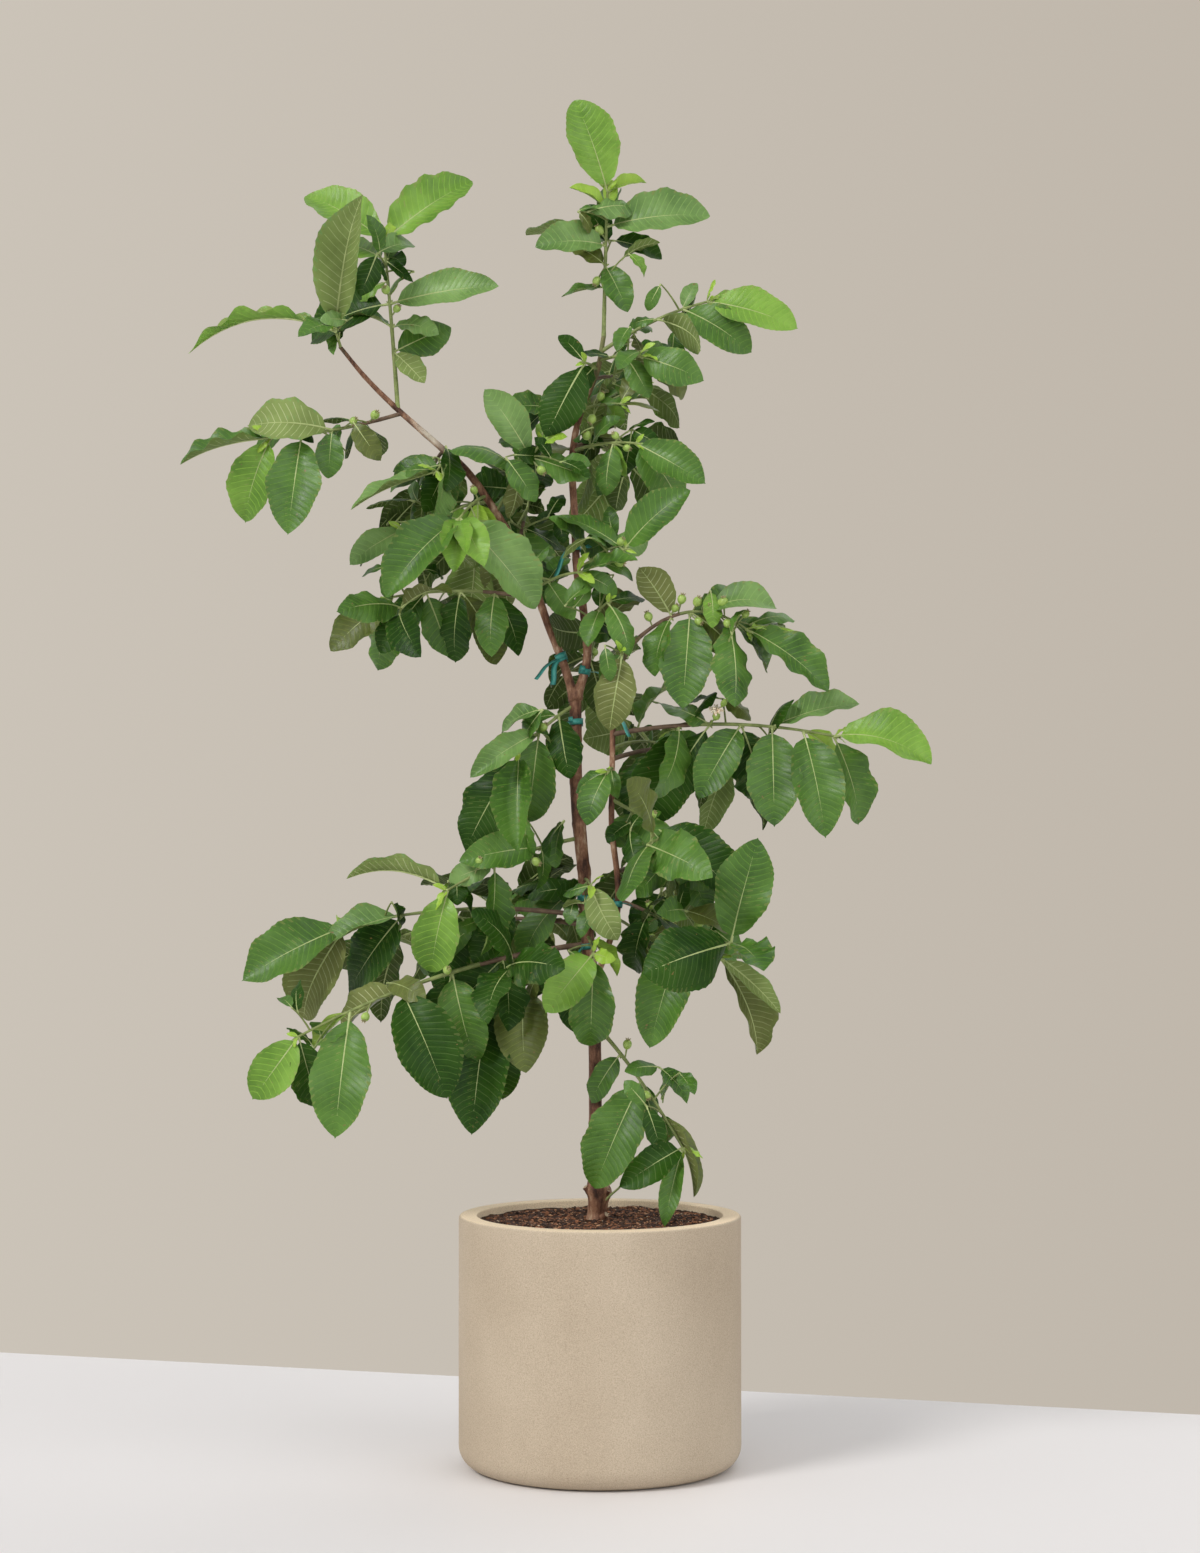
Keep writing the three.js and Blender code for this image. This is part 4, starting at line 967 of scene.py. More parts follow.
def tint_of(leaf, dice):
    drift = dice.uniform()
    if leaf.index >= YOUNG_LEAF:
        return "fresh" if leaf.length > LONG_YOUNG_LEAF else "young"
    name = leaf.shoot.name
    letters = SPRAY_TINTS.get(name, "d")
    if leaf.index < len(letters):
        return TINT_LETTERS[letters[leaf.index]]
    if name in SPRAY_TINTS and leaf.index < TWIG_LEAF:
        return TINT_LETTERS[letters[-1]]
    at_back = leaf.shoot.curve.point(1)[1] > FAR_BACK
    # Painted shade: leaves at the back take the darker odds.
    odds = DARK_AND_SHADED_ODDS if at_back or letters[-1] == "d" else LIGHT_ODDS
    return next(tint for limit, tint in odds if drift < limit)


def tip_leaves(shoot, dice):
    """The small young pair at a shoot's tip, still half upright."""
    ahead = direction_of(shoot.curve, 1)
    for k in (0, 1):
        spread_way = unit(np.cross(ahead, vec(0.2, 1, 0.1))) * (1 if k else -1) * dice.uniform(0.35, 0.9)
        aim = unit(ahead + spread_way + vec(0, dice.uniform(-0.3, 0.3), 0.25))
        length, slim = dice.uniform(13, 27), dice.uniform(0.3, 0.42)
        if shoot.name in YOUNG_PAIRS:
            angle, lean, length = YOUNG_PAIRS[shoot.name][k]
            aim, slim = aim_of(angle, lean), 0.46
        leaf = Leaf(shoot.curve.point(1), aim, length, length * slim, 0.35, 0.2)
        leaf.shoot, leaf.index, leaf.chosen = shoot, YOUNG_LEAF + k, False
        yield leaf


def make_leaves():
    piles = {tint: Pile() for tint in TINTS}
    for shoot in shoots:
        dice = np.random.default_rng(SEEDS["leaves"] + shoot.order)
        shoot.leaves += tip_leaves(shoot, dice)
        for leaf in shoot.leaves:
            leaf_character(leaf, dice)
            add_leaf(piles[tint_of(leaf, dice)], leaf, shows_underside(leaf))
    for tint, pile in piles.items():
        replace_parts(pile.piece(f"leaves_{tint}", tint_finishes(tint), "foliage"), *[s.name for s in shoots])


# ------------------------------------------------------------------ stems and chips, by Geometry Nodes
class NodeTree(Wiring):
    """A Geometry Nodes tree with named inputs, which ends in Realize Instances and Set Material."""

    def __init__(self, name, output, **inputs):
        super().__init__(bpy.data.node_groups.new(name, "GeometryNodeTree"))
        socket = self.tree.interface.new_socket
        self.ids = {label: socket(label, in_out="INPUT", socket_type="NodeSocket" + kind).identifier
                    for label, kind in inputs.items()}
        socket(output, in_out="OUTPUT", socket_type="NodeSocketGeometry")
        self.given, self.result = self.put("NodeGroupInput").outputs, self.put("NodeGroupOutput")

    def realized(self, geometry):
        return self.put("GeometryNodeRealizeInstances", {"Geometry": geometry}).outputs["Geometry"]

    def end(self, geometry):
        dressed = self.put("GeometryNodeSetMaterial",
                           {"Geometry": geometry, "Material": self.given["Finish"]})
        self.feed(self.result, {0: dressed.outputs["Geometry"]})

    def piece(self, name, mesh, slot, **values):
        """The plain mesh that the tree makes of a mesh, as a piece. The modifier goes with its holder."""
        holder = in_scene(name + "_source", mesh)
        modifier = holder.modifiers.new(self.tree.name, "NODES")
        modifier.node_group = self.tree
        for label, value in values.items():
            modifier[self.ids[label]] = value
        made = bpy.data.meshes.new_from_object(holder.evaluated_get(bpy.context.evaluated_depsgraph_get()))
        bpy.data.objects.remove(holder)
        made.name = name
        return settled(name, made, slot)


def stem_tree():
    """Paths with a thickness at each point become closed round stems."""
    t = NodeTree("round_stems", "Stems", Paths="Geometry", Sides="Int", Finish="Material")
    given = t.put("GeometryNodeInputNamedAttribute", {"Name": "thickness"}, data_type="FLOAT")
    thickness = given.outputs["Attribute"]
    curve = t.put("GeometryNodeMeshToCurve", {"Mesh": t.given["Paths"]}).outputs["Curve"]
    thick = t.put("GeometryNodeSetCurveRadius", {"Curve": curve, "Radius": thickness}).outputs["Curve"]
    circle = t.put("GeometryNodeCurvePrimitiveCircle", {"Radius": 1, "Resolution": t.given["Sides"]})
    sweep = t.put("GeometryNodeCurveToMesh", {"Fill Caps": True, "Curve": thick,
                                              "Profile Curve": circle.outputs["Curve"]})
    if "Scale" in sweep.inputs:
        t.feed(sweep, {"Scale": thickness})
    smooth = t.put("GeometryNodeSetShadeSmooth", {"Geometry": sweep.outputs["Mesh"]})
    t.end(t.realized(smooth.outputs["Geometry"]))
    return t


STEM_TREE = stem_tree()


def stems(name, paths, finish, sides, slot):
    """One piece from many paths, each a list of (place, radius)."""
    points, edges, radii = [], [], []
    for path in paths:
        start = len(points)
        points += [(place * MM).tolist() for place, _ in path]
        radii += [radius * MM for _, radius in path]
        edges += [(start + k, start + k + 1) for k in range(len(path) - 1)]
    mesh = bpy.data.meshes.new(name)
    mesh.from_pydata(points, edges, [])
    mesh.attributes.new("thickness", "FLOAT", "POINT").data.foreach_set("value", radii)
    STEM_TREE.piece(name, mesh, slot, Sides=sides, Finish=finish)


SHOOT_NODE_APART = 26
RIB_STEPS = 14


def stem_path(shoot, low, high):
    """A shoot's stem with a slight swelling at each of its nodes."""
    steps = max(6, round(shoot.length * (high - low) / 6))
    path = []
    for t in (mix(low, high, k / steps) for k in range(steps + 1)):
        swell = 1 + 0.14 * max(0, math.cos(2 * math.pi * t * shoot.length / SHOOT_NODE_APART)) ** 6
        path.append((shoot.curve.point(t), shoot.radius(t) * swell))
    return path


def rib_path(leaf):
    """The leaf's stalk and midrib, which thins out towards the tip."""
    thick = 0.75 + leaf.length * 0.006
    under = 1 if shows_underside(leaf) else -1
    path = []
    for k in range(RIB_STEPS + 1):
        s = k / RIB_STEPS * 0.965
        place, up, _ = leaf_surface(leaf, s, 0) if s > PETIOLE else (leaf.middle(s), leaf.normal(s), 0)
        radius = thick * (1 - 0.80 * s) * (1.25 if k == 0 else 1)
        path.append((place + up * under * radius * 0.35, radius))
    return path


# Shoots that are green from the foot, as the short ones are.
GREEN_SHOOTS = {"crown_top", "left_high", "foot_shoot", "crown_right", "left_low", "left_inner"}
SHORT_SHOOT = 110
BROWN_SHARE = 0.38


def make_stems():
    brown, green = [], []
    for shoot in shoots:
        split = 0.0 if shoot.length < SHORT_SHOOT or shoot.name in GREEN_SHOOTS else BROWN_SHARE
        if split:
            brown.append(stem_path(shoot, 0, split))
        green.append(stem_path(shoot, split, 1))
        for curves, radius, steps in ((shoot.side_twigs, twig_radius, 8), (shoot.fine_twigs, fine_radius, 5)):
            shares = [k / steps for k in range(steps + 1)]
            green += [[(curve.point(t), radius(t)) for t in shares] for curve in curves]
    ribs = [rib_path(leaf) for shoot in shoots for leaf in shoot.leaves]
    for name, paths, sides, slot, finish in (
            ("green_twigs", green, 10, "young_bark",
             ("green_twig", (0.150, 0.190, 0.050), (0.270, 0.330, 0.105), 0.5)),
            ("brown_twigs", brown, 10, "young_bark",
             ("brown_twig", (0.110, 0.065, 0.040), (0.200, 0.130, 0.080), 0.7)),
            ("leaf_ribs", ribs, 6, "foliage",
             ("leaf_rib", (0.330, 0.400, 0.140), (0.450, 0.520, 0.220), 0.5))):
        stems(name, paths, plain_finish(*finish), sides, slot)


# ------------------------------------------------------------------ bark
# Knots and scars on the bark: height, turn round the limb in degrees, rise, spread.
KNOTS = {
    "trunk": [(296, 190, 3.2, 6), (292, 350, 3.0, 6), (284, 250, 1.6, 7), (761, 180, 2.6, 6),
            (560, 300, 1.4, 6), (472, 200, 1.2, 5), (431, 320, 1.0, 5), (352, 230, 1.3, 6),
            (690, 240, 1.2, 5), (640, 20, 1.4, 5)],
    "left_leader": [(908, 250, 1.0, 5), (1014, 200, 0.9, 5), (1102, 240, 1.0, 4)],
    "right_leader": [(924, 290, 1.0, 5), (1143, 200, 1.5, 4), (1031, 250, 0.9, 4)],
    "third_stem": [(593, 270, 0.8, 4), (740, 260, 0.7, 4)],
}
# Where each limb's bark turns from brown to green, as heights.
GREENING = {"trunk": (900, 1000), "left_leader": (1196, 1290), "right_leader": (1150, 1240),
            "third_stem": (850, 930)}
# Cut ends of branches: foot, tip, radius. The profile is share of the length and of the radius.
STUBS = [((-8, 0, 290), (-16, -3, 300), 3.4), ((2, -2, 288), (9, -6, 297), 3.0),
         ((1, -4, 266), (7, -9, 271), 3.2)]
STUB_PROFILE = ((0, 1.5), (0.35, 1.25), (0.8, 1.05), (0.97, 1.06), (1.0, 0.85), (0.95, 0.68), (0.95, 0.3))
STUB_RELIEF = 0.25
NODE_APART = 46
BARK_STEP = 3.4
GNARLED = {"below": 325, "over": 40, "more": 2.6}
ROOT_FLARE = {"below": 285, "over": 22, "rise": 2.2}
BLEACHED = {"right": -186, "spread": 16}


def even_shares(curve, step):
    """Shares of a curve that lie evenly along it, and its length."""
    fine = np.linspace(0, 1, 600)
    places = np.array([curve.point(t) for t in fine])
    along = np.concatenate([[0], np.cumsum(np.linalg.norm(np.diff(places, axis=0), axis=1))])
    return np.interp(np.linspace(0, along[-1], max(8, round(along[-1] / step))), along, fine), along[-1]


def bark_relief(name, place, turn, along):
    """How far the bark stands out at a place: ridges, flakes, rings at old nodes, knots."""
    x, y, z = math.cos(turn), math.sin(turn), place[2]
    ridge = noise_at(x * 1.5, y * 1.5, z * 0.018) * 0.75
    flake = noise_at(x * 4.5 + 7, y * 4.5, z * 0.075) * 0.32
    grain = noise_at(x * 12, y * 12 + 3, z * 0.3) * 0.12
    from_node = (along + 9) % NODE_APART - NODE_APART / 2
    gnarled = 1 + GNARLED["more"] * clamp((GNARLED["below"] - z) / GNARLED["over"]) if name == "trunk" else 1
    rise = ridge + (flake + grain) * gnarled + 0.55 * math.exp(-(from_node / 2.4) ** 2)
    for height, angle, amount, wide in KNOTS[name]:
        off = math.remainder(turn - math.radians(angle), 2 * math.pi) * 8
        rise += amount * math.exp(-((z - height) / wide) ** 2 - (off / wide) ** 2)
    if name == "trunk" and z < ROOT_FLARE["below"]:
        lobes = 0.5 + 0.5 * math.cos(4 * turn + 0.7)
        rise += ROOT_FLARE["rise"] * lobes * min(1, (ROOT_FLARE["below"] - z) / ROOT_FLARE["over"])
    return rise


def limb_bark(name, sides):
    """One limb's bark as a fine closed tube, and how green and how bleached it is at each point."""
    limb = limbs[name]
    shares, whole = even_shares(limb, BARK_STEP)
    rows = [(limb.point(t), direction_of(limb, t), limb.radius(t), k * whole / len(shares))
            for k, t in enumerate(shares)]
    (foot, rising, thick, _), (end, ahead, thin, _) = rows[0], rows[-1]
    if name == "trunk":
        rows.insert(0, (foot - UP * 7, rising, thick + 1.5, 0))
    rows += [(end + ahead * thin * lift, ahead, thin * math.sqrt(1 - lift ** 2), whole)
             for lift in (0.35, 0.65, 0.88)]
    points, green, bleach = [], [], []
    low, high = GREENING[name]
    for centre, direction, radius, along in rows:
        for corner in ring(centre, direction, 1, sides):
            out = corner - centre
            collar = 2.4 * math.exp(-(along / 9) ** 2) if name != "trunk" else 0
            rise = bark_relief(name, corner, math.atan2(out[1], out[0]), along) * min(1, radius / 7) + collar
            points.append(centre + out * (radius + rise))
            green.append(clamp((corner[2] - low) / (high - low)))
            from_pale = (corner[0] - BLEACHED["right"]) / BLEACHED["spread"]
            pale = math.exp(-from_pale ** 2) if name == "left_leader" else 0
            bleach.append(pale if out[2] > -0.3 else pale * 0.4)
    return points, tube_faces(len(rows), sides), green, bleach


def bark_finish():
    """Smooth mottled brown bark with paler flakes, turning green towards the young ends."""
    bark = Finish("guava_bark")
    mottle, streak = bark.noise(72, 7, (1, 1, 0.4), 0.68), bark.noise(90, 4, (1, 1, 0.2))
    colour = bark.ramp(mottle, (0.36, (0.040, 0.017, 0.010)), (0.46, (0.150, 0.064, 0.035)),
                       (0.56, (0.300, 0.155, 0.088)), (0.67, (0.540, 0.390, 0.265)))
    green = bark.ramp(streak, (0.32, (0.145, 0.165, 0.060)), (0.55, (0.250, 0.285, 0.110)),
                      (0.75, (0.360, 0.380, 0.185)))
    pale = bark.ramp(mottle, (0.35, (0.330, 0.270, 0.200)), (0.65, (0.560, 0.500, 0.400)))
    for layer, other in (("greenness", green), ("bleaching", pale)):
        share = bark.put("ShaderNodeAttribute", attribute_name=layer).outputs["Fac"]
        colour = bark.blend(colour, other, share)
    return bark.skin(colour, mottle, 0.72, 0.50, bark.noise(200, 6, (1, 1, 0.35), 0.65), 0.0018, 0.9,
                     Specular_IOR_Level=0.35)


def make_bark():
    finish = bark_finish()
    cut_wood = plain_finish("cut_wood", (0.360, 0.270, 0.170), (0.520, 0.420, 0.290), 0.75, 260)
    for name, sides in (("trunk", 40), ("left_leader", 26), ("right_leader", 26), ("third_stem", 22)):
        points, faces, green, bleach = limb_bark(name, sides)
        pile = Pile()
        pile.add(points, faces)
        if name == "trunk":
            for foot, tip, radius in STUBS:
                add_stub(pile, vec(*foot), vec(*tip), radius)
        piece = pile.piece(f"{name}_bark", [finish, cut_wood], "bark")
        for label, values in (("greenness", green), ("bleaching", bleach)):
            layer = piece.data.attributes.new(label, "FLOAT", "POINT")
            layer.data.foreach_set("value", values + [0.0] * (pile.count - len(points)))
        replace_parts(piece, name)


def wobble(place):
    """Three noises, one for each direction. noise.noise_vector isn't the same in every run."""
    return vec(*(noise_at(*np.roll(place, k)) for k in range(3)))


def add_stub(pile, foot, tip, radius):
    """The short end of a branch that was cut off, with its pale cut face inside a rolled edge."""
    sides = 14
    heading = unit(tip - foot)
    rings = []
    for along, wide in STUB_PROFILE:
        circle = ring(mix(foot, tip, along), heading, radius * wide, sides)
        rings.append([place + STUB_RELIEF * wobble(place * 0.35) for place in circle])
    # Bark as far as the rolled edge and on the hidden end, cut wood inside the edge and on the last face.
    finishes = [0] * (4 * sides) + [1] * (2 * sides) + [0, 1]
    pile.add_tube(rings, finishes)


# ------------------------------------------------------------------ pot and soil
POT_SIDES = 144


def lathe(profile, around):
    """A closed turned form: the profile starts and ends on the axis."""
    inner = profile[1:-1]
    turns = [2 * math.pi * i / around for i in range(around)]
    points = [vec(0, 0, profile[0][1])]
    points += [vec(radius * math.cos(a), radius * math.sin(a), height)
               for radius, height in inner for a in turns]
    points.append(vec(0, 0, profile[-1][1]))
    top = 1 + (len(inner) - 1) * around
    faces = []
    for i in range(around):
        j = (i + 1) % around
        faces += [(0, 1 + j, 1 + i), (len(points) - 1, top + i, top + j)]
        for r in range(len(inner) - 1):
            a, b = 1 + r * around, 1 + (r + 1) * around
            faces.append((a + i, a + j, b + j, b + i))
    return points, faces


def corner_arc(centre_radius, centre_height, size, start, end, steps):
    turns = [math.radians(mix(start, end, k / steps)) for k in range(steps + 1)]
    return [(centre_radius + size * math.cos(a), centre_height + size * math.sin(a)) for a in turns]


def pot_profile():
    outer, inner = POT["radius"], POT["radius"] - POT["wall"]
    foot, lip, brim = POT["foot_round"], POT["lip_round"], POT["brim_round"]
    profile = [(0, 0)] + corner_arc(outer - foot, foot, foot, -90, 0, 10)
    profile += [(outer, mix(foot, POT["height"] - lip, k / 14)) for k in range(1, 14)]
    profile += corner_arc(outer - lip, POT["height"] - lip, lip, 0, 90, 6)
    profile += corner_arc(inner + brim, POT["height"] - brim, brim, 90, 180, 4)
    profile += [(inner, mix(POT["height"] - brim, POT["floor"] + 6, k / 8)) for k in range(1, 9)]
    profile += corner_arc(inner - 6, POT["floor"] + 6, 6, 0, -90, 3)[1:]
    return profile + [(40, POT["floor"]), (0, POT["floor"])]


def stone_finish():
    """Cast sandstone: warm beige, fine speckle, a few dark pits, and a painted light that makes the rim and
    the inner wall paler.
    """
    stone = Finish("sandstone")
    cloud, speckle = stone.noise(9, 5, (1, 1, 0.7)), stone.noise(900, 2)
    base = stone.ramp(cloud, (0.30, (0.444, 0.362, 0.266)), (0.70, (0.516, 0.430, 0.324)))
    fleck = stone.ramp(speckle, (0.32, (0.80, 0.78, 0.75)), (0.50, (1, 1, 1)), (0.68, (1.16, 1.16, 1.16)))
    pits = stone.put("ShaderNodeTexVoronoi", {"Scale": 24, "Vector": stone.place}).outputs["Distance"]
    pit = stone.ramp(pits, (0.020, (0.34, 0.28, 0.24)), (0.034, (1, 1, 1)))
    flat = stone.put("ShaderNodeMapping", {"Scale": (1, 1, 0), "Vector": stone.place}).outputs["Vector"]
    from_axis = stone.put("ShaderNodeVectorMath", {0: flat}, operation="LENGTH").outputs["Value"]
    inside = stone.span(from_axis, from_min=(POT["radius"] - 0.4) * MM, from_max=(POT["radius"] - 2.6) * MM)
    height = stone.put("ShaderNodeSeparateXYZ", {0: stone.place}).outputs["Z"]
    above_foot = stone.span(height, from_min=POT["height"] * 0.3 * MM, from_max=POT["height"] * 0.4 * MM)
    painted_light_mask = stone.put("ShaderNodeMath", {0: inside, 1: above_foot}, operation="MULTIPLY").outputs["Value"]
    # Painted light: the rim and the inner wall above the foot take a paler colour, as light on the rim and
    # against the shade in the pot's mouth.
    colour = stone.blend(base, (0.880, 0.715, 0.510), painted_light_mask)
    for layer in (fleck, pit):
        colour = stone.blend(colour, layer, 0.8, "MULTIPLY")
    return stone.skin(colour, cloud, 0.88, 0.72, speckle, 0.0006, 0.4, Specular_IOR_Level=0.25)


def make_pot():
    points, faces = lathe(pot_profile(), POT_SIDES)
    uneven = [p * (1 + 0.0009 * noise.noise(Vector(p) * 0.016)) for p in points]
    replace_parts(one_piece("sandstone_pot", uneven, faces, stone_finish(), "pot"), "pot")


def soil_height(x, y):
    """Crumbly level soil, a little heaped round the trunk."""
    lump = noise_at(x * 0.035, y * 0.035, 1) * 2.4
    crumb = noise_at(x * 0.12, y * 0.12, 5) * 1.6 + noise_at(x * 0.33, y * 0.33, 9) * 0.9
    return SOIL_TOP + 0.5 + 1.5 * math.exp(-(math.hypot(x, y) / 26) ** 2) + lump + crumb


def soil_finish():
    soil = Finish("potting_soil")
    clods = soil.noise(95, 6, roughness=0.65)
    colour = soil.ramp(clods, (0.30, (0.014, 0.007, 0.004)), (0.50, (0.050, 0.025, 0.013)),
                       (0.68, (0.125, 0.062, 0.032)))
    return soil.skin(colour, clods, 0.82, 0.98, soil.noise(420, 4), 0.0015, 0.8, Specular_IOR_Level=0.2)


SOIL_ROWS, SOIL_SIDES = 46, 150
UNDER_SOIL_FACE = 250


def make_soil():
    edge = POT["radius"] - POT["wall"] + 0.2
    profile = [(0, POT["floor"]), (edge, POT["floor"]), (edge, 120), (edge, 240)]
    profile += [(edge * (1 - k / SOIL_ROWS), SOIL_TOP) for k in range(SOIL_ROWS)] + [(0, SOIL_TOP)]
    points, faces = lathe(profile, SOIL_SIDES)
    for point in points:
        if point[2] > UNDER_SOIL_FACE:
            point[2] = soil_height(point[0], point[1])
    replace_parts(one_piece("soil_bed", points, faces, soil_finish(), "soil"), "soil")
    top = [face for face in faces if all(points[corner][2] > UNDER_SOIL_FACE for corner in face)
           and math.hypot(*points[face[0]][:2]) < edge - 6]
    scatter_chips(points, top)


# Chips in the soil: name, dark and light colour, number per square metre, size in mm, seed.
CHIPS = [
    ("dark_chips", (0.022, 0.010, 0.006), (0.078, 0.034, 0.018), 40000, 3.0, 3),
    ("red_chips", (0.150, 0.054, 0.022), (0.340, 0.140, 0.064), 26000, 2.7, 11),
    ("tan_chips", (0.380, 0.180, 0.085), (0.620, 0.360, 0.200), 9500, 2.3, 19),
    ("pale_chips", (0.500, 0.370, 0.240), (0.700, 0.560, 0.400), 3600, 1.7, 27),
]
# The least and the most that a chip is turned, and stretched.
CHIP_TURNS = ((-0.45, -0.45, 0), (0.45, 0.45, 6.283))
CHIP_SHAPES = ((0.5, 0.35, 0.16), (1.9, 0.95, 0.5))


def chip_tree():
    """Small flat chips of bark scattered at random over a surface, half sunk in it."""
    t = NodeTree("scattered_chips", "Chips", Ground="Geometry", Density="Float", Size="Float", Seed="Int",
                 Finish="Material")
    size, seed = t.given["Size"], t.given["Seed"]
    spots = t.put("GeometryNodeDistributePointsOnFaces",
                  {"Mesh": t.given["Ground"], "Density": t.given["Density"], "Seed": seed})
    chip = t.put("GeometryNodeMeshIcoSphere", {"Subdivisions": 1, "Radius": size})
    turn, scale = (t.put("FunctionNodeRandomValue", {"Min": low, "Max": high, "Seed": seed},
                         data_type="FLOAT_VECTOR").outputs["Value"]
                   for low, high in (CHIP_TURNS, CHIP_SHAPES))
    placed = t.put("GeometryNodeInstanceOnPoints", {"Points": spots.outputs["Points"], "Rotation": turn,
                                                    "Instance": chip.outputs["Mesh"], "Scale": scale})
    texture = t.put("ShaderNodeTexNoise", {"Scale": 240}).outputs["Color"]
    centred = t.put("ShaderNodeVectorMath", {0: texture, 1: (0.5, 0.5, 0.5)}, operation="SUBTRACT")
    sized = t.put("ShaderNodeVectorMath", {0: centred.outputs["Vector"], "Scale": size}, operation="SCALE")
    rough = t.put("GeometryNodeSetPosition", {"Geometry": t.realized(placed.outputs["Instances"]),
                                              "Offset": sized.outputs["Vector"]})
    t.end(rough.outputs["Geometry"])
    return t


def scatter_chips(points, faces):
    tree = chip_tree()
    used, new = renumbered(faces)
    ground_points = [(points[n] * MM).tolist() for n in used]
    ground_faces = [[new[n] for n in face] for face in faces]
    for name, dark, light, density, size, seed in CHIPS:
        ground = bpy.data.meshes.new(name)
        ground.from_pydata(ground_points, [], ground_faces)
        tree.piece(name, ground, "soil", Density=float(density), Size=size * MM, Seed=seed,
                   Finish=plain_finish(name, dark, light, 0.85, 300, 0.0006))


# ------------------------------------------------------------------ fruit, buds, flower
FLOWER_RIGHT = 118
# Turned forms as (along, radius), from the stalk to the tip.
FLOWER_CUP = [(-4.6, 0.9), (-3.4, 3.2), (-0.6, 4.4), (2.4, 3.9), (4.2, 2.4), (5.0, 3.6), (5.5, 1.2)]
FLOWER_BUD = [(-5, 0.9), (-3.6, 2.6), (-0.4, 3.5), (2.6, 2.7), (4.6, 1.0), (5.4, 0.1)]
LEAF_BUD = [(0, 0.7), (1.2, 1.15), (2.8, 0.9), (4.2, 0.15)]
TIP_BUD = [(-1, 1.2), (1, 1.6), (4, 1.4), (7, 0.7), (9, 0.1)]
STAMENS = 46
GOLDEN_TURN = 2.399


def add_turned(pile, centre, axis, profile, sides, finish=0):
    """A small closed turned form along an axis: profile of (along, radius)."""
    pile.add_tube([ring(centre + axis * along, axis, radius, sides) for along, radius in profile], finish)


def add_fruit(pile, centre, hang, dice):
    """A young fruit: an egg, and the dry lobes of its calyx at the far end."""
    size = FRUIT_RADIUS * dice.uniform(0.8, 1.02)
    profile = []
    for k in range(11):
        turn = math.pi * (0.04 + 0.92 * k / 10)
        narrow = 1 - 0.10 * math.cos(turn)
        profile.append((-size * 1.12 * math.cos(turn), size * 0.96 * math.sin(turn) * narrow))
    add_turned(pile, centre, hang, profile, 16)
    crown = centre + hang * size * 1.08
    across = unit(np.cross(hang, vec(0.3, 1, 0.2)))
    for k in range(5):
        out = swing(across, np.cross(hang, across), 2 * math.pi * k / 5)
        add_turned(pile, crown + out * size * 0.22, unit(out * 0.9 + hang * 0.8),
                   [(0, 0.6), (size * 0.2, 0.75), (size * 0.4, 0.45), (size * 0.52, 0.1)], 6, 1)


# Small fruits that stand up from a stem, as shares of its length.
FRUITLETS = {
    "right_mid": (0.12, 0.28, 0.36, 0.5, 0.58, 0.7, 0.8, 0.92), "crown_top": (0.3, 0.62),
    "left_high": (0.5, 0.62), "left_inner": (0.7,), "left_low": (0.62, 0.8), "left_wing": (0.55,),
    "left_foot": (0.5,), "right_foot": (0.4, 0.55, 0.7), "leader_bud": (0.35,), "leader_right": (0.3, 0.8),
    "centre_right": (0.75,), "trunk_left": (0.7,), "left_mid": (0.25, 0.45), "left_front": (0.3,),
    "right_low": (0.5,), "foot_shoot": (0.35,), "back_mid": (0.5, 0.7), "back_left": (0.6,),
    "back_right": (0.4, 0.7), "back_far": (0.5,),
}
BEHIND_TRUNK = 30


def fruitlets(dice):
    """The small upright fruits: foot, centre and the way they point."""
    for shoot in shoots:
        for share in FRUITLETS.get(shoot.name, ()):
            foot = shoot.curve.point(share)
            away = 1 if foot[1] > BEHIND_TRUNK else -1
            heading = unit(vec(dice.uniform(-0.7, 0.7), away * dice.uniform(0.1, 0.8),
                               dice.uniform(0.25, 1.0)))
            yield foot, foot + heading * dice.uniform(11, 18), heading


# A thin green twig at the foot of the trunk: right, back, up, radius.
FOOT_TWIG = [(6, -5, 286, 1.3), (12, -8, 292, 1.25), (20, -10, 299, 1.2), (29, -11, 310, 1.1)]


def make_fruit():
    dice = np.random.default_rng(SEEDS["fruit"])
    pile = Pile()
    stalks = [[(vec(*place), radius) for *place, radius in FOOT_TWIG]]
    for foot, centre, heading in fruitlets(dice):
        add_fruit(pile, centre, heading, dice)
        stalks.append([(mix(foot, centre, t), mix(0.8, 1.15, t)) for t in (0, 0.3, 0.6, 0.9)])
    for shoot in shoots:
        for foot, centre, hang in shoot.fruit_list:
            add_fruit(pile, centre, hang, dice)
            sag = (foot + centre) / 2 + vec(0, 0, 1.2)
            stalks.append([(mix(mix(foot, sag, t), mix(sag, centre, t), t), mix(0.8, 1.1, t))
                           for t in (0, 0.25, 0.5, 0.75, 1)])
    skin = plain_finish("green_fruit", (0.260, 0.400, 0.075), (0.400, 0.550, 0.130), 0.36, 160, 0.0002)
    calyx = plain_finish("dry_calyx", (0.260, 0.230, 0.100), (0.400, 0.340, 0.170), 0.7, 300)
    fruit = pile.piece("young_fruit", [skin, calyx], "foliage")
    stalk_finish = plain_finish("fruit_stalk", (0.200, 0.250, 0.080), (0.300, 0.350, 0.130), 0.55)
    stems("fruit_stalks", stalks, stalk_finish, 8, "young_bark")
    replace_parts(fruit, *[s.name for s in shoots if s.fruit_list])


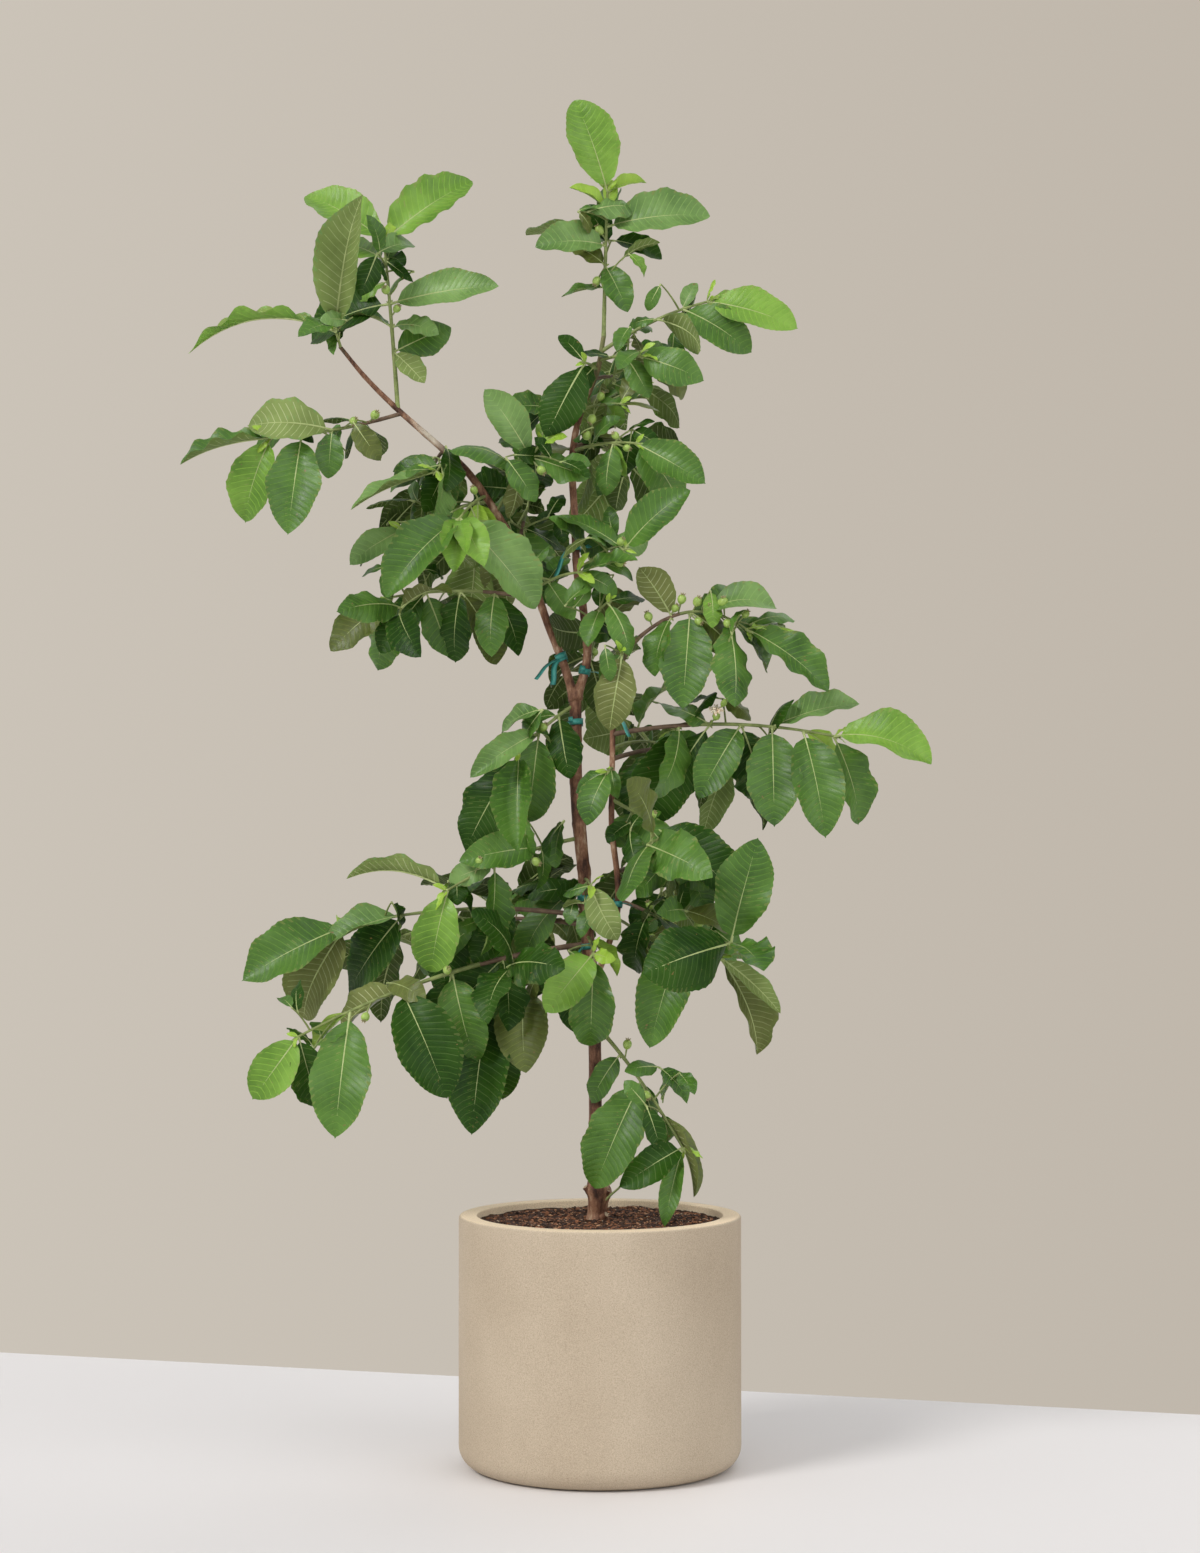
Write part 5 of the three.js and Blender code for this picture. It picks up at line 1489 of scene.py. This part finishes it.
def make_buds():
    """A small bud in the angle of each leaf, and a pointed one at each shoot's tip."""
    pile = Pile()
    for shoot in shoots:
        add_turned(pile, shoot.curve.point(1), direction_of(shoot.curve, 1), TIP_BUD, 8)
        for leaf in shoot.leaves:
            if leaf.index < TWIG_LEAF:
                heading = unit(leaf.aim + direction_of(shoot.curve, 0.9))
                add_turned(pile, leaf.foot + heading * 1.2, heading, LEAF_BUD, 6)
    scale = plain_finish("bud_scale", (0.210, 0.270, 0.075), (0.330, 0.390, 0.140), 0.55, 300)
    pile.piece("buds", [scale], "foliage")


def make_flower():
    """One spent flower that stands on the right-hand shoot, with dry stamens and a bud beside it."""
    dice = np.random.default_rng(SEEDS["flower"])
    curve = next(s for s in shoots if s.name == "right_far").curve
    share = min(np.linspace(0, 1, 101), key=lambda t: abs(curve.point(t)[0] - FLOWER_RIGHT))
    foot = curve.point(share)
    top = foot + vec(6, -20, 8)
    heading = unit(vec(0.1, -0.35, 1))
    bud_foot, bud = top + vec(1.5, 0, 3), top + vec(8, -6, 14)
    pile = Pile()
    add_turned(pile, top, heading, FLOWER_CUP, 14)
    add_turned(pile, bud, unit(bud - bud_foot), FLOWER_BUD, 12)
    across = unit(np.cross(heading, vec(0.2, 1, 0)))
    threads = []
    for k in range(STAMENS):
        out = swing(across, np.cross(heading, across), GOLDEN_TURN * k)
        start = top + heading * 4.6 + out * (0.6 + 2.4 * math.sqrt(k / STAMENS))
        end = start + heading * dice.uniform(0, 5) + out * dice.uniform(1.5, 6.5)
        end = end + vec(*dice.uniform(-2, 2, 3))
        bend = (start + end) / 2 + heading * 2
        threads.append([(start, 1.1), (bend, 0.9), (end, 1.2)])
    calyx = plain_finish("flower_calyx", (0.200, 0.330, 0.045), (0.340, 0.480, 0.095), 0.5, 300)
    pile.piece("spent_flower", [calyx], "foliage")
    stalks = [[(foot, 1.0), (mix(foot, top, 0.5), 0.85), (top - heading * 4, 1.1)],
              [(bud_foot, 0.9), (mix(bud_foot, bud, 0.5), 0.8), (mix(bud_foot, bud, 0.8), 0.9)]]
    stems("flower_stalk", stalks, calyx, 8, "foliage")
    dry = plain_finish("dry_stamens", (0.660, 0.470, 0.290), (0.980, 0.920, 0.760), 0.8, 260)
    stems("stamens", threads, dry, 4, "foliage")


# ------------------------------------------------------------------ ties of soft garden tape
# Ties round the plant's own stems: limb, height, turns, tail directions and lengths.
TIES = [
    ("right_leader", 992, 1.6, [((-0.6, -0.5, -0.7), 34), ((0.5, -0.6, 0.2), 22)]),
    ("left_leader", 968, 1.4, [((0.4, -0.5, -0.8), 26)]),
    ("left_leader", 872, 2.2, [((-0.8, -0.4, -0.4), 30), ((-0.3, -0.5, -0.9), 24)]),
    ("right_leader", 858, 1.8, [((0.7, -0.5, 0.1), 20)]),
    ("trunk", 803, 1.7, [((-0.7, -0.5, -0.5), 22)]),
    ("third_stem", 808, 1.8, [((0.6, -0.6, -0.5), 26)]),
    ("trunk", 612, 1.7, [((-0.6, -0.6, -0.5), 24)]),
    ("third_stem", 606, 1.6, [((0.7, -0.6, 0.2), 18)]),
    ("trunk", 560, 1.4, [((-0.5, -0.6, -0.7), 30)]),
]
TAPE = {"width": 6.5, "thickness": 0.35}
TIE_STEPS = 16


def add_tape(pile, path, outs):
    """A ribbon along a path, its flat side facing outs."""
    rings = []
    for k, (place, out) in enumerate(zip(path, outs)):
        ahead = unit(path[min(k + 1, len(path) - 1)] - path[max(k - 1, 0)])
        wide = unit(np.cross(ahead, out)) * TAPE["width"] / 2
        thick = unit(np.cross(wide, ahead)) * TAPE["thickness"] / 2
        curl = unit(thick) * 0.5
        rings.append([place + wide + curl, place - thick, place - wide + curl, place + thick])
    pile.add_tube(rings)


def make_ties():
    pile = Pile()
    dice = np.random.default_rng(SEEDS["ties"])
    for name, height, turns, tails in TIES:
        limb = limbs[name]
        t = limb.share_at(height)
        centre, axis, radius = limb.point(t), direction_of(limb, t), limb.radius(t) + 1.1
        u = unit(np.cross(axis, vec(0, 1, 0)))
        v = np.cross(axis, u)
        steps = range(int(turns * TIE_STEPS) + 1)
        outs = [swing(u, v, 2 * math.pi * k / TIE_STEPS + math.pi) for k in steps]
        path = [centre + outs[k] * (radius + 0.02 * k) + axis * (0.16 * k - 2) for k in steps]
        add_tape(pile, path, outs)
        for heading, length in tails:
            way = unit(vec(*heading))
            out = unit(way - axis * np.dot(way, axis))
            start = centre + out * (radius - 0.4)
            tail = [start + way * length * s + UP * (-length * 0.35 * s * s) + out * 2 * math.sin(5 * s)
                    for s in np.linspace(0, 1, 9)]
            across = unit(np.cross(way, UP) + vec(*dice.uniform(-0.3, 0.3, 3)))
            add_tape(pile, tail, [unit(np.cross(across, way))] * len(tail))
    tape = plain_finish("garden_tape", (0.030, 0.235, 0.200), (0.065, 0.360, 0.300), 0.42, 60, 0.0002)
    pile.piece("ties", [tape], "foliage")


# ------------------------------------------------------------------ floor, wall, light, camera
# In metres. The wall runs from left to right behind the plant, nearer to it at the right.
FLOOR_REACH, BELOW_POT = 60, -0.0002
WALL = {"left": (-4.0, 1.677), "right": (4.0, -0.679), "height": 5}
CAMERA = {"place": (0, -3.3, 0.667), "pitch": 91.33, "lens": 70.5, "sensor": 36}


def backdrop(name, corners, paint):
    mesh = bpy.data.meshes.new(name)
    mesh.from_pydata(corners, [], [(0, 1, 2, 3)])
    mesh.materials.append(paint)
    flat = in_scene(name, mesh)
    return flat


def make_stage():
    corners = [(x * FLOOR_REACH, y * FLOOR_REACH, BELOW_POT) for x, y in ((-1, -1), (1, -1), (1, 1), (-1, 1))]
    backdrop("floor", corners, floor_paint())
    left, right, high = WALL["left"], WALL["right"], WALL["height"]
    wall = backdrop("wall", [(*left, 0), (*right, 0), (*right, high), (*left, high)], wall_glow())
    wall.visible_diffuse = wall.visible_shadow = wall.visible_glossy = False


def floor_paint():
    paint = Finish("floor_paint")
    colour = paint.ramp(paint.noise(1.2), (0.3, (0.800, 0.775, 0.770)), (0.7, (0.815, 0.790, 0.785)))
    paint.feed(paint.shader, {"Base Color": colour, "Roughness": 0.6})
    return paint.material


def wall_glow():
    """A greige backdrop that glows evenly, with a painted shade that makes it a little darker to the right. It
    is clear from behind.
    """
    wall = Finish("wall_paint")
    wall.tree.nodes.remove(wall.shader)
    right = wall.put("ShaderNodeSeparateXYZ", {"Vector": wall.place}).outputs["X"]
    across = wall.span(right, from_min=-0.9, from_max=0.9)
    # Painted shade: the glow grows a little darker towards the right.
    colour = wall.ramp(across, (0.0, (0.600, 0.550, 0.482)), (1.0, (0.520, 0.468, 0.402)))
    glow = wall.put("ShaderNodeEmission", {"Color": colour}).outputs["Emission"]
    clear = wall.put("ShaderNodeBsdfTransparent").outputs["BSDF"]
    behind = wall.put("ShaderNodeNewGeometry").outputs["Backfacing"]
    blend = wall.put("ShaderNodeMixShader", {"Fac": behind, 1: glow, 2: clear})
    wall.feed(wall.tree.nodes["Material Output"], {"Surface": blend.outputs["Shader"]})
    return wall.material


# Even lights: name, where each comes from, strength, how wide it looks in degrees, colour.
SUNS = [
    ("key", (-0.95, -0.85, 1.0), 1.5, 18, (1.0, 0.99, 0.975)),
    ("back_fill", (0.6, 0.9, 1.1), 0.35, 40, (0.98, 0.99, 1.0)),
    ("side_fill", (0.95, -0.75, 0.55), 0.76, 50, (0.98, 0.99, 1.0)),
    ("front_fill", (-0.1, -1.0, 0.28), 0.25, 60, (1.0, 0.99, 0.98)),
]


def make_light():
    """Four suns, and a sky that is brighter above than below."""
    for name, towards, strength, softness, colour in SUNS:
        light = bpy.data.lights.new(name, "SUN")
        light.energy, light.angle, light.color = strength, math.radians(softness), colour
        in_scene(name, light).rotation_euler = Vector(towards).to_track_quat("Z", "Y").to_euler()
    world = bpy.data.worlds.new("studio")
    world.use_nodes = True
    sky = Wiring(world.node_tree)
    look = sky.put("ShaderNodeTexCoord").outputs["Generated"]
    towards = sky.put("ShaderNodeVectorMath", {0: look, 1: (-0.38, -0.28, 0.88)}, operation="DOT_PRODUCT")
    level = sky.put("ShaderNodeMapRange", {"From Min": -1, "To Min": 0.10, "To Max": 0.68,
                                           "Value": towards.outputs["Value"]}).outputs["Result"]
    sky.feed(sky.tree.nodes["Background"], {"Color": (1.0, 0.99, 0.98, 1), "Strength": level})
    bpy.context.scene.world = world
    bpy.context.scene.view_settings.view_transform = "Standard"


def make_camera():
    lens = bpy.data.cameras.new("camera")
    lens.lens, lens.sensor_width = CAMERA["lens"], CAMERA["sensor"]
    camera = in_scene("camera", lens)
    camera.location = CAMERA["place"]
    camera.rotation_euler = (math.radians(CAMERA["pitch"]), 0, 0)
    bpy.context.scene.camera = camera


make_leaves()
make_stems()
make_fruit()
make_buds()
make_flower()
make_bark()
make_pot()
make_soil()
make_ties()
make_stage()
make_light()
make_camera()
